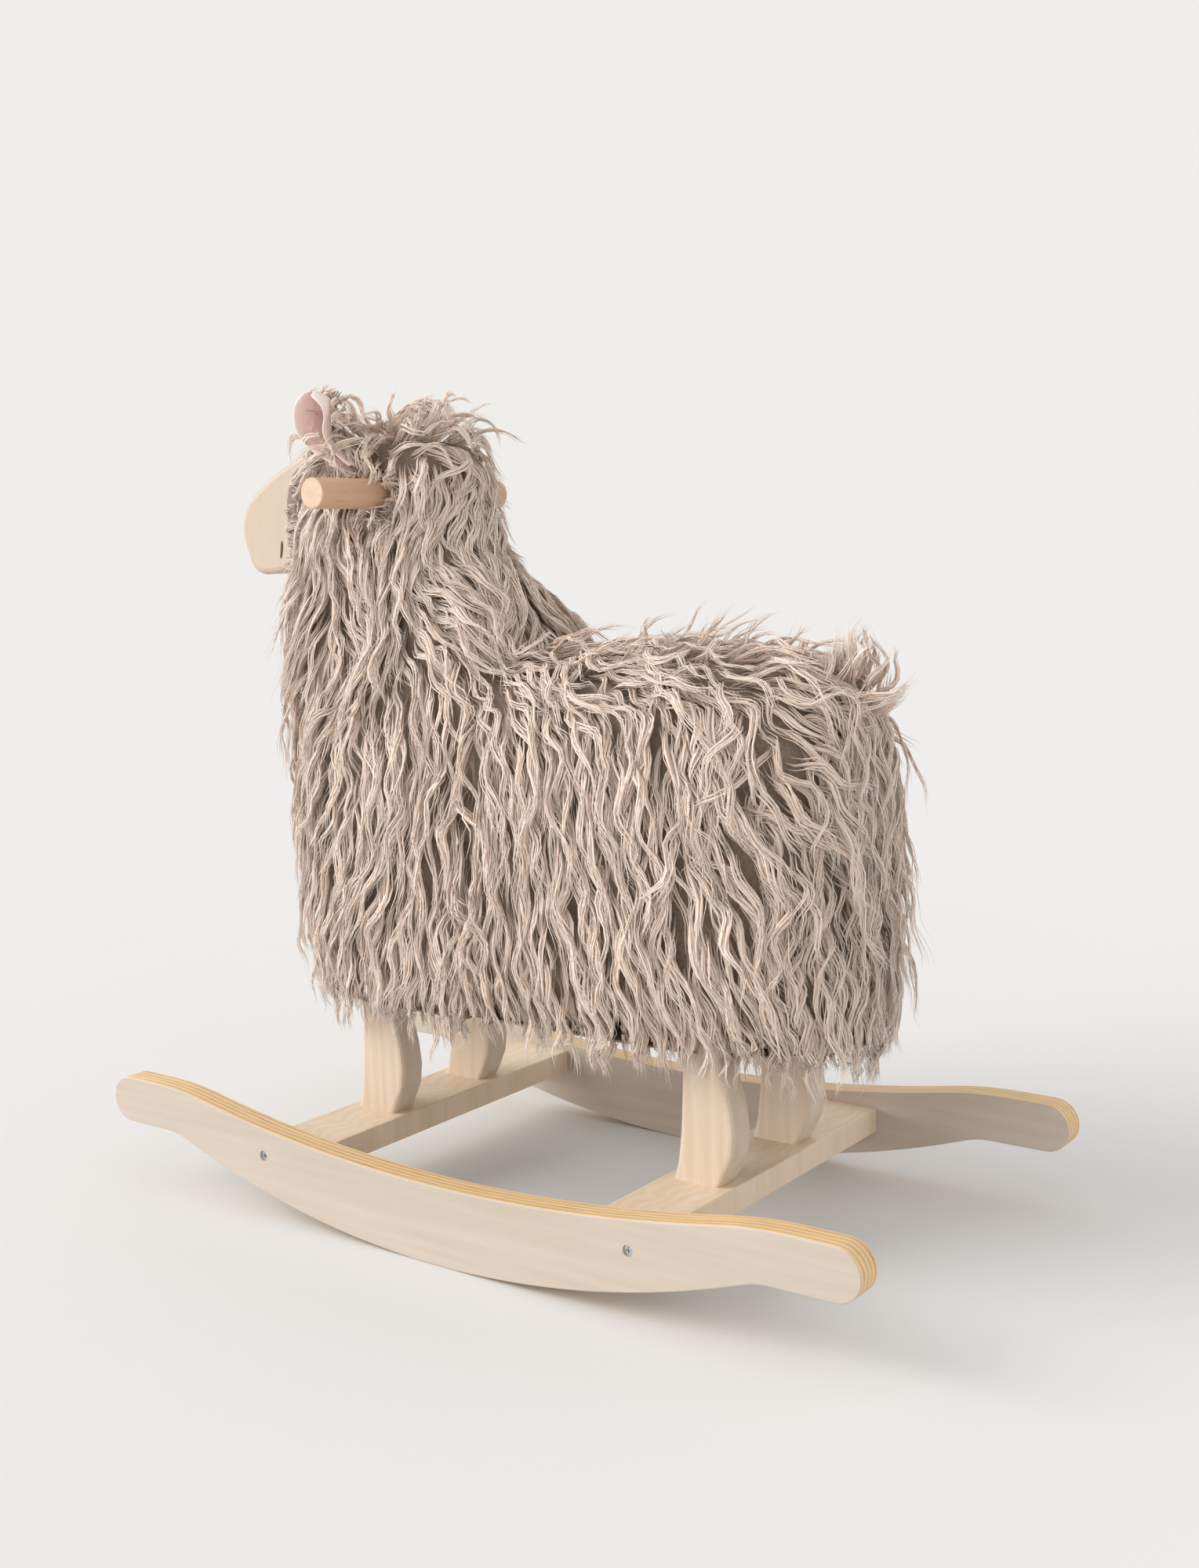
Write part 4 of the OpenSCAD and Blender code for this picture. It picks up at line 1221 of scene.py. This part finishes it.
# %% Growing the coat
PER_LOCK = 8
path, away = grow(backing_tree, roots, root_normals, length, height, comb, body_twist, stand, tangle)
points, tone, from_root = strands_on(path, away, length, 31, lambda p: 2.2 * phase_field(p),
                                     tone_field, PER_LOCK)
print(n_roots, "locks,", len(points), "strands")

# %% [markdown]
# One mesh of all strands would be too heavy to work with, so the coat is cut into eight sections
# on each side, by where a strand's root is. Each stands for the CAD solid below it.

# %% The coat in sections
BANDS = (-0.18, -0.08, 0.03, 0.13, 0.2)
BAND_NAMES = ("rump", "rear", "flank", "shoulder", "chest", "breast")
NECK_Z, HEAD_Z = 0.43, 0.535
COAT_OF = {"rump": "body_coat", "rear": "body_coat", "flank": "body_coat", "shoulder": "chest_coat",
           "chest": "chest_coat", "breast": "chest_coat", "neck": "neck_coat", "head": "head_coat"}
owner_x, owner_y, owner_z = (np.repeat(v, PER_LOCK) for v in (x, y, z))
band = np.digitize(owner_x, BANDS)
section = np.array(BAND_NAMES, dtype=object)[band]
section[owner_z >= NECK_Z] = "neck"
section[owner_z >= HEAD_Z] = "head"
for word, side in SIDES:
    on_side = (owner_y >= 0) if side > 0 else (owner_y < 0)
    for part, coat in COAT_OF.items():
        mask = on_side & (section == part)
        piece = pile_piece("pile_%s_%s" % (word, part), points[mask], tone[mask], from_root[mask],
                           coat, pile_look)
        print(piece.name, int(mask.sum()), "strands", triangles(piece), "triangles")

# %% [markdown]
# ## Felt ears
# An ear is a leaf of pale pink felt, cupped, with a rolled rim and a fold down its rear edge. It
# could be cut from a cylinder, but the two edges are different curves, so a flat grid is shaped
# row by row instead. The outline is given at ten heights, from the notch up to the tip: the front
# edge and the rear edge. A soft curve is drawn through them.

# %% The outline of an ear
EAR_ROWS = np.array([-0.0065, -0.002, 0.005, 0.012, 0.020, 0.028, 0.036, 0.043, 0.049, 0.0532])
EAR_FRONT = np.array([-0.0125, -0.002, 0.009, 0.0175, 0.0225, 0.0232, 0.0208, 0.0165, 0.0095, 0.0010])
EAR_REAR = np.array([-0.0170, -0.013, -0.0085, -0.0055, -0.0048, -0.0078, -0.0145, -0.0163, -0.0125,
                     -0.0050])


def smooth_read(t, keys, values):
    """Reads a row of values with a soft curve through them."""
    grid = np.linspace(keys[0], keys[-1], 400)
    line = np.interp(grid, keys, values)
    kernel = np.hanning(31)
    kernel /= kernel.sum()
    longer = np.pad(line, 15, mode="reflect", reflect_type="odd")
    return np.interp(t, grid, np.convolve(longer, kernel, mode="valid"))


print("an ear is", round(1000 * (EAR_ROWS[-1] - EAR_ROWS[0])), "mm long and",
      round(1000 * (EAR_FRONT - EAR_REAR).max()), "mm wide")

# %% [markdown]
# The ear leans out from the head by 24 degrees. It is easiest to shape in its own plane, forward,
# up and outward, and then to carry it to its place, mirrored for the right side.

# %% The place of an ear
EAR_X, EAR_Y, EAR_Z, EAR_LEAN = 0.183, 0.0513, 0.565, math.radians(24)


def ear_place(u, v, w, side):
    """From the ear's own plane (forward, up, outward) to the toy."""
    out_y, out_z = math.cos(EAR_LEAN), -math.sin(EAR_LEAN)
    up_y, up_z = math.sin(EAR_LEAN), math.cos(EAR_LEAN)
    return np.stack([EAR_X + u, side * (EAR_Y + v * up_y + w * out_y), EAR_Z + v * up_z + w * out_z], -1)


print("the tip of the left ear is at", np.round(ear_place(0, EAR_ROWS[-1], 0, 1), 3))

# %% [markdown]
# Pink felt is matted wool. Its colour carries painted shade: darker in the depth of the cup and pale at
# its rim. The grid's own UV map gives the distance from the middle line, and a ramp over it paints that
# shade. A fine noise stands for the fibres.

# %% Pink felt
felt = Finish("pink_felt", 0.85)
fibres = felt.noise(felt.place(), 900, 4, 0.7)
ear_uv = felt.add("ShaderNodeSeparateXYZ", {"Vector": felt.place(source="UV")})
to_rim = felt.math("ABSOLUTE", felt.math("SUBTRACT", ear_uv.outputs["X"], 0.5))
# painted shade: the felt darkens towards the middle of the cup
cup_painted_shade = felt.ramp(to_rim, [(0.0, rgb(190, 152, 142)), (0.2, rgb(212, 176, 166)),
                                (0.34, rgb(236, 208, 199)), (0.44, rgb(247, 229, 222))])
fuzz = felt.ramp(fibres, [(0.35, (0, 0, 0, 1)), (0.75, (0.35, 0.35, 0.35, 1))])
felt.colour(felt.mix(fuzz, cup_painted_shade, rgb(246, 228, 222)))
felt.bump(fibres, 0.35, 0.0006)
felt.sheen(0.3)
print("pink felt:", len(felt.tree.nodes), "nodes")

# %% [markdown]
# One function cuts both layers of an ear: the pink lining, and the plush behind it, which is a
# little smaller and lies deeper. The sides are raised into the cup, the last columns roll over at
# the rim, and the rear edge folds forward. A grid's faces may look the wrong way once it is set
# up on its side, so they are turned if they do. Solidify gives the thickness, and Subdivision
# Surface rounds it.

# %% Leaf of an ear
def cup_height(s, t, half, depth, cup):
    """How far the leaf stands outwards, at s across and t up its height."""
    wide = np.clip(half / 0.018, 0.15, 1)
    rim = np.clip((np.abs(s) - 0.78) / 0.22, 0, 1)
    w = depth - cup * wide * (1 - np.abs(s) ** 2.2) + 0.0022 * rim
    w += np.where(s < 0, 0.004, 0) * rise(-s, 0.55, 0.95) * wide
    return w - 0.004 * (1 - t), rim


def ear_leaf(name, side, depth, grow_by, thickness, cup, top=1.0):
    deselect()
    bpy.ops.mesh.primitive_grid_add(x_subdivisions=14, y_subdivisions=18, size=2)
    leaf = newest(name)
    co = points_of(leaf)
    s, t = co[:, 0], (co[:, 1] + 1) / 2
    v = EAR_ROWS[0] + (EAR_ROWS[-1] - EAR_ROWS[0]) * t * top
    front, rear = smooth_read(v, EAR_ROWS, EAR_FRONT), smooth_read(v, EAR_ROWS, EAR_REAR)
    half = (front - rear) / 2 + grow_by
    w, rim = cup_height(s, t, half, depth, cup)
    u = (front + rear) / 2 + half * (s - 0.10 * np.sign(s) * rim)
    put_points(leaf, ear_place(u, v, w, side))
    if sum(face.normal.y * face.area for face in leaf.data.polygons) * side < 0:
        edit(leaf)
        bpy.ops.mesh.flip_normals()
        leave_edit()
    use_modifier(leaf, "SOLIDIFY", thickness=thickness, offset=-1)
    use_modifier(leaf, "SUBSURF", levels=2, render_levels=2)
    choose(leaf)
    bpy.ops.object.shade_smooth()
    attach(leaf, "root")
    return leaf


middle_w, _ = cup_height(np.zeros(1), np.full(1, 0.5), 0.015, 0.004, 0.015)
print("the felt lies", round(-1000 * middle_w[0], 1), "mm deep in the middle of the cup")

# %% [markdown]
# The lining is pink felt all over. What stands behind it is the same knit that carries the coat,
# because the plush is sewn from it: smaller all round, so that the felt's rim stays in sight.

# %% Two layers of an ear
def felt_lining(word, side):
    lining = ear_leaf("ear_felt_" + word, side, 0.004, 0.0012, 0.0026, 0.015)
    dress(lining, felt)
    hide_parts("ear_%s_lining" % word)


def plush_back(word, side):
    plush = ear_leaf("ear_plush_" + word, side, -0.0080, -0.0045, 0.003, 0.013, 0.86)
    dress(plush, knit_with_painted_shade)
    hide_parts("ear_" + word)
    return plush


print("the plush stops", round(0.14 * 1000 * (EAR_ROWS[-1] - EAR_ROWS[0]), 1), "mm below the tip")

# %% [markdown]
# The back of each ear is as shaggy as the head. Its hair is combed to the rear and down, in
# shorter locks than the coat's, and only from the side that faces the head.

# %% Pile behind an ear
EAR_SPACING, EAR_LOCK = 0.0058, 0.050


def ear_pile(word, side, plush):
    inward = unit(np.array([0, -side * math.cos(EAR_LEAN), math.sin(EAR_LEAN)]))
    middle = np.array([EAR_X, side * (EAR_Y + 0.012), EAR_Z + 0.027])

    def behind(spots, normals):
        return (normals @ inward > 0.1) & (spots[:, 2] < EAR_Z + 0.047)

    def ear_comb(p, n):
        return np.tile([-1.0, side * 0.05, -0.55], (len(p), 1)) + 0.15 * ((p - middle) / 0.03)

    starts, normals = scatter(plush, EAR_SPACING, behind, 40 + side)
    rng = np.random.default_rng(41)
    length = EAR_LOCK * rng.uniform(0.6, 1.2, len(starts))
    length *= 1 - 0.5 * rise(starts[:, 2], EAR_Z + 0.028, EAR_Z + 0.044)
    height = rng.uniform(0.003, 0.011, len(starts))
    path, away = grow(surface_of(plush), starts, normals, length, height, ear_comb,
                      lambda p: 0.7 * busy(p), 0.06, hem=-1)
    strands = strands_on(path, away, length, 50 + side, phase_field, tone_field,
                         wave=0.003, wavelength=0.034, spread=0.005)
    return pile_piece("pile_%s_ear" % word, *strands, "ear_" + word, pile_look)


for word, side in SIDES:
    felt_lining(word, side)
    piece = ear_pile(word, side, plush_back(word, side))
    print(piece.name, triangles(piece), "triangles")

# %% [markdown]
# ## Tail
# A short stuffed stalk stands up and back from the rump. A cone is remeshed and smoothed to round
# its ends, which Bevel could do as well, but the even small faces also suit the search for the
# nearest spot.

# %% Tail stalk
tail_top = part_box("tail")[1][2]
TAIL_LEAN = math.radians(38)
TAIL_FOOT = Vector((-0.216, 0, 0.362))
TAIL_WAY = Vector((-math.sin(TAIL_LEAN), 0, math.cos(TAIL_LEAN)))
STALK_LENGTH = 0.055
deselect()
bpy.ops.mesh.primitive_cone_add(vertices=24, radius1=0.012, radius2=0.005, depth=STALK_LENGTH,
                                location=TAIL_FOOT + TAIL_WAY * STALK_LENGTH / 2,
                                rotation=(0, -TAIL_LEAN, 0))
stalk = newest("tail_stalk")
settle(stalk)
use_modifier(stalk, "REMESH", mode="VOXEL", voxel_size=0.002)
use_modifier(stalk, "SMOOTH", factor=0.5, iterations=12)
bpy.ops.object.shade_smooth()
dress(stalk, knit_with_painted_shade)
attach(stalk, "root")
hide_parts("tail")
stalk_top = (TAIL_FOOT + TAIL_WAY * STALK_LENGTH).z
print("the stalk ends", round(1000 * (tail_top - stalk_top)), "mm below the top of the CAD tail")

# %% [markdown]
# The tail's hair is combed up and back, towards its end, and stands off the stalk so that it
# makes a tuft against the sky.

# %% Pile of the tail
t_roots, t_normals = scatter(stalk, 0.0056, lambda s, n: s[:, 2] > 0.360, 61)
tail_rng = np.random.default_rng(62)
t_length = tail_rng.uniform(0.042, 0.070, len(t_roots))
t_height = tail_rng.uniform(0.004, 0.014, len(t_roots))


def tail_comb(p, n):
    across = p - (np.array(TAIL_FOOT) + np.array(TAIL_WAY) * 0.02)
    return np.tile([-0.3, 0, 1.0], (len(p), 1)) + 0.4 * across / 0.03


t_path, t_away = grow(surface_of(stalk), t_roots, t_normals, t_length, t_height, tail_comb,
                      lambda p: 0.4 * busy(p), 0.3, hem=-1)
t_strands = strands_on(t_path, t_away, t_length, 63, phase_field, tone_field,
                       wave=0.0028, wavelength=0.04)
tail_pile = pile_piece("pile_tail", *t_strands, "tail", pile_look)
print("tail:", len(t_roots), "locks,", triangles(tail_pile), "triangles")

# %% [markdown]
# ## Belly cloth
# A piece of needled felt closes the coat underneath. It is a rounded rectangle stretched flat in
# the coat's lower opening: a circle whose points are pushed out towards the corners, and given
# its thickness by Solidify. Nothing of it drapes, so no cloth simulation is needed.

# %% Belly cloth
ROUNDNESS = 0.6
cloth_low, cloth_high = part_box("belly_cloth")
cloth_x = (cloth_low[0] + cloth_high[0]) / 2
cloth_half = ((cloth_high[0] - cloth_low[0]) / 2, (cloth_high[1] - cloth_low[1]) / 2)
deselect()
bpy.ops.mesh.primitive_circle_add(vertices=96, radius=1, fill_type="NGON")
cloth = newest("belly_felt")
co = points_of(cloth)
squarer = np.sign(co) * np.abs(co) ** ROUNDNESS
co[:, 0] = cloth_x + cloth_half[0] * squarer[:, 0]
co[:, 1] = cloth_half[1] * squarer[:, 1]
co[:, 2] = cloth_low[2]
put_points(cloth, co)
use_modifier(cloth, "SOLIDIFY", thickness=cloth_high[2] - cloth_low[2], offset=1)
print("cloth box", [round(v, 3) for v in cloth_low], [round(v, 3) for v in cloth_high])

# %% [markdown]
# The legs come through the cloth. A block with softened edges is set at each leg, a little larger
# than the leg there, and the four are cut out together with a Boolean.

# %% Holes for the legs
HOLE = (0.038, 0.027, 0.02)


def hole_at(leg):
    near = [v.co for v in nodes[leg].data.vertices if abs(v.co.z - cloth_low[2]) < 0.03]
    across = [v.x for v in near]
    aside = [v.y for v in near]
    middle = ((min(across) + max(across)) / 2, (min(aside) + max(aside)) / 2, cloth_low[2])
    deselect()
    bpy.ops.mesh.primitive_cube_add(size=1, location=middle)
    cutter = bpy.context.object
    cutter.scale = HOLE
    settle(cutter)
    return use_modifier(cutter, "BEVEL", width=0.004, segments=3)


cutter = joined([hole_at(leg) for leg in LEGS], "leg_holes")
use_modifier(cloth, "BOOLEAN", operation="DIFFERENCE", object=cutter, solver="EXACT")
bpy.data.objects.remove(cutter)
print("cloth with holes:", triangles(cloth), "triangles")

# %% [markdown]
# Needled felt is a mat of taupe fibres with no weave, so one fine noise gives its colour and its
# bumps.

# %% Needled felt
needled = Finish("needled_felt", 0.95)
mat_fibres = needled.noise(needled.place(), 800, 4, 0.7)
needled.colour(needled.ramp(mat_fibres, [(0.3, rgb(134, 120, 105)), (0.7, rgb(166, 152, 136))]))
needled.bump(mat_fibres, 0.4, 0.0005)
dress(cloth, needled)
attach(cloth, "root")
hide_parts("belly_cloth")

# %% [markdown]
# ## Floor
# The toy stands on a plain pale floor, so large that its end lies on the horizon. Its colour is
# chosen so that under these lamps it is as bright as the backdrop, and the horizon doesn't show.

# %% Floor
deselect()
bpy.ops.mesh.primitive_plane_add(size=60)
floor = newest("studio_floor")
ground = Finish("studio_ground", 0.9)
ground.colour(ground.ramp(ground.noise(ground.place(), 3, 2),
                          [(0.3, (0.738, 0.742, 0.737, 1)), (0.7, (0.742, 0.746, 0.741, 1))]))
ground.shader.inputs["Specular IOR Level"].default_value = 0.0
dress(floor, ground)
print("floor", [round(v) for v in floor.dimensions])

# %% [markdown]
# ## Backdrop and soft light from all round
# The world does two things. To the camera, and in shiny and clear things, it is the pale backdrop.
# To everything else it is an even, slightly warm light. Light Path tells the two apart.

# %% World
BACKDROP = rgb(240, 238, 235)
FILL_COLOUR, FILL_STRENGTH = (1.0, 0.972, 0.96, 1), 0.86
world = bpy.data.worlds.new("studio")
bpy.context.scene.world = world
world.use_nodes = True
sky = world.node_tree
sky.nodes.clear()
fill = sky.nodes.new("ShaderNodeBackground")
fill.inputs["Color"].default_value = FILL_COLOUR
fill.inputs["Strength"].default_value = FILL_STRENGTH
seen = sky.nodes.new("ShaderNodeBackground")
seen.inputs["Color"].default_value = BACKDROP
seen.inputs["Strength"].default_value = 1.0
ray_kind = sky.nodes.new("ShaderNodeLightPath")
shows = ray_kind.outputs["Is Camera Ray"]
for ray in ("Is Glossy Ray", "Is Transmission Ray"):
    either = sky.nodes.new("ShaderNodeMath")
    either.operation = "MAXIMUM"
    sky.links.new(shows, either.inputs[0])
    sky.links.new(ray_kind.outputs[ray], either.inputs[1])
    shows = either.outputs[0]
mixer = sky.nodes.new("ShaderNodeMixShader")
world_out = sky.nodes.new("ShaderNodeOutputWorld")
sky.links.new(shows, mixer.inputs[0])
sky.links.new(fill.outputs[0], mixer.inputs[1])
sky.links.new(seen.outputs[0], mixer.inputs[2])
sky.links.new(mixer.outputs[0], world_out.inputs[0])
print("world:", len(sky.nodes), "nodes")

# %% [markdown]
# ## The lamp
# A sun lamp shines from the front left and above. A real window is wide, so the sun is given a
# wide angle, and its shadows are soft.

# %% Key light
SUN_WAY = Vector((-1.12, -0.88, -0.6))
sun_data = bpy.data.lights.new("soft_key", "SUN")
sun_data.energy = 2.55
sun_data.angle = math.radians(50)
sun_data.color = (1.0, 0.995, 0.985)
sun = bpy.data.objects.new("soft_key", sun_data)
sun.rotation_euler = SUN_WAY.to_track_quat("-Z", "Y").to_euler()
bpy.context.collection.objects.link(sun)
bpy.context.scene.view_settings.view_transform = "Standard"
print("key light points", [round(v, 2) for v in SUN_WAY.normalized()])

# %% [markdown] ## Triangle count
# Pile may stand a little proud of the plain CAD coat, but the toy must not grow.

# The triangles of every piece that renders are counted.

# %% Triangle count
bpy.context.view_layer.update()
total = sum(triangles(o) for o in bpy.data.objects if o.type == "MESH" and not o.hide_render)
print("triangles in all:", total)
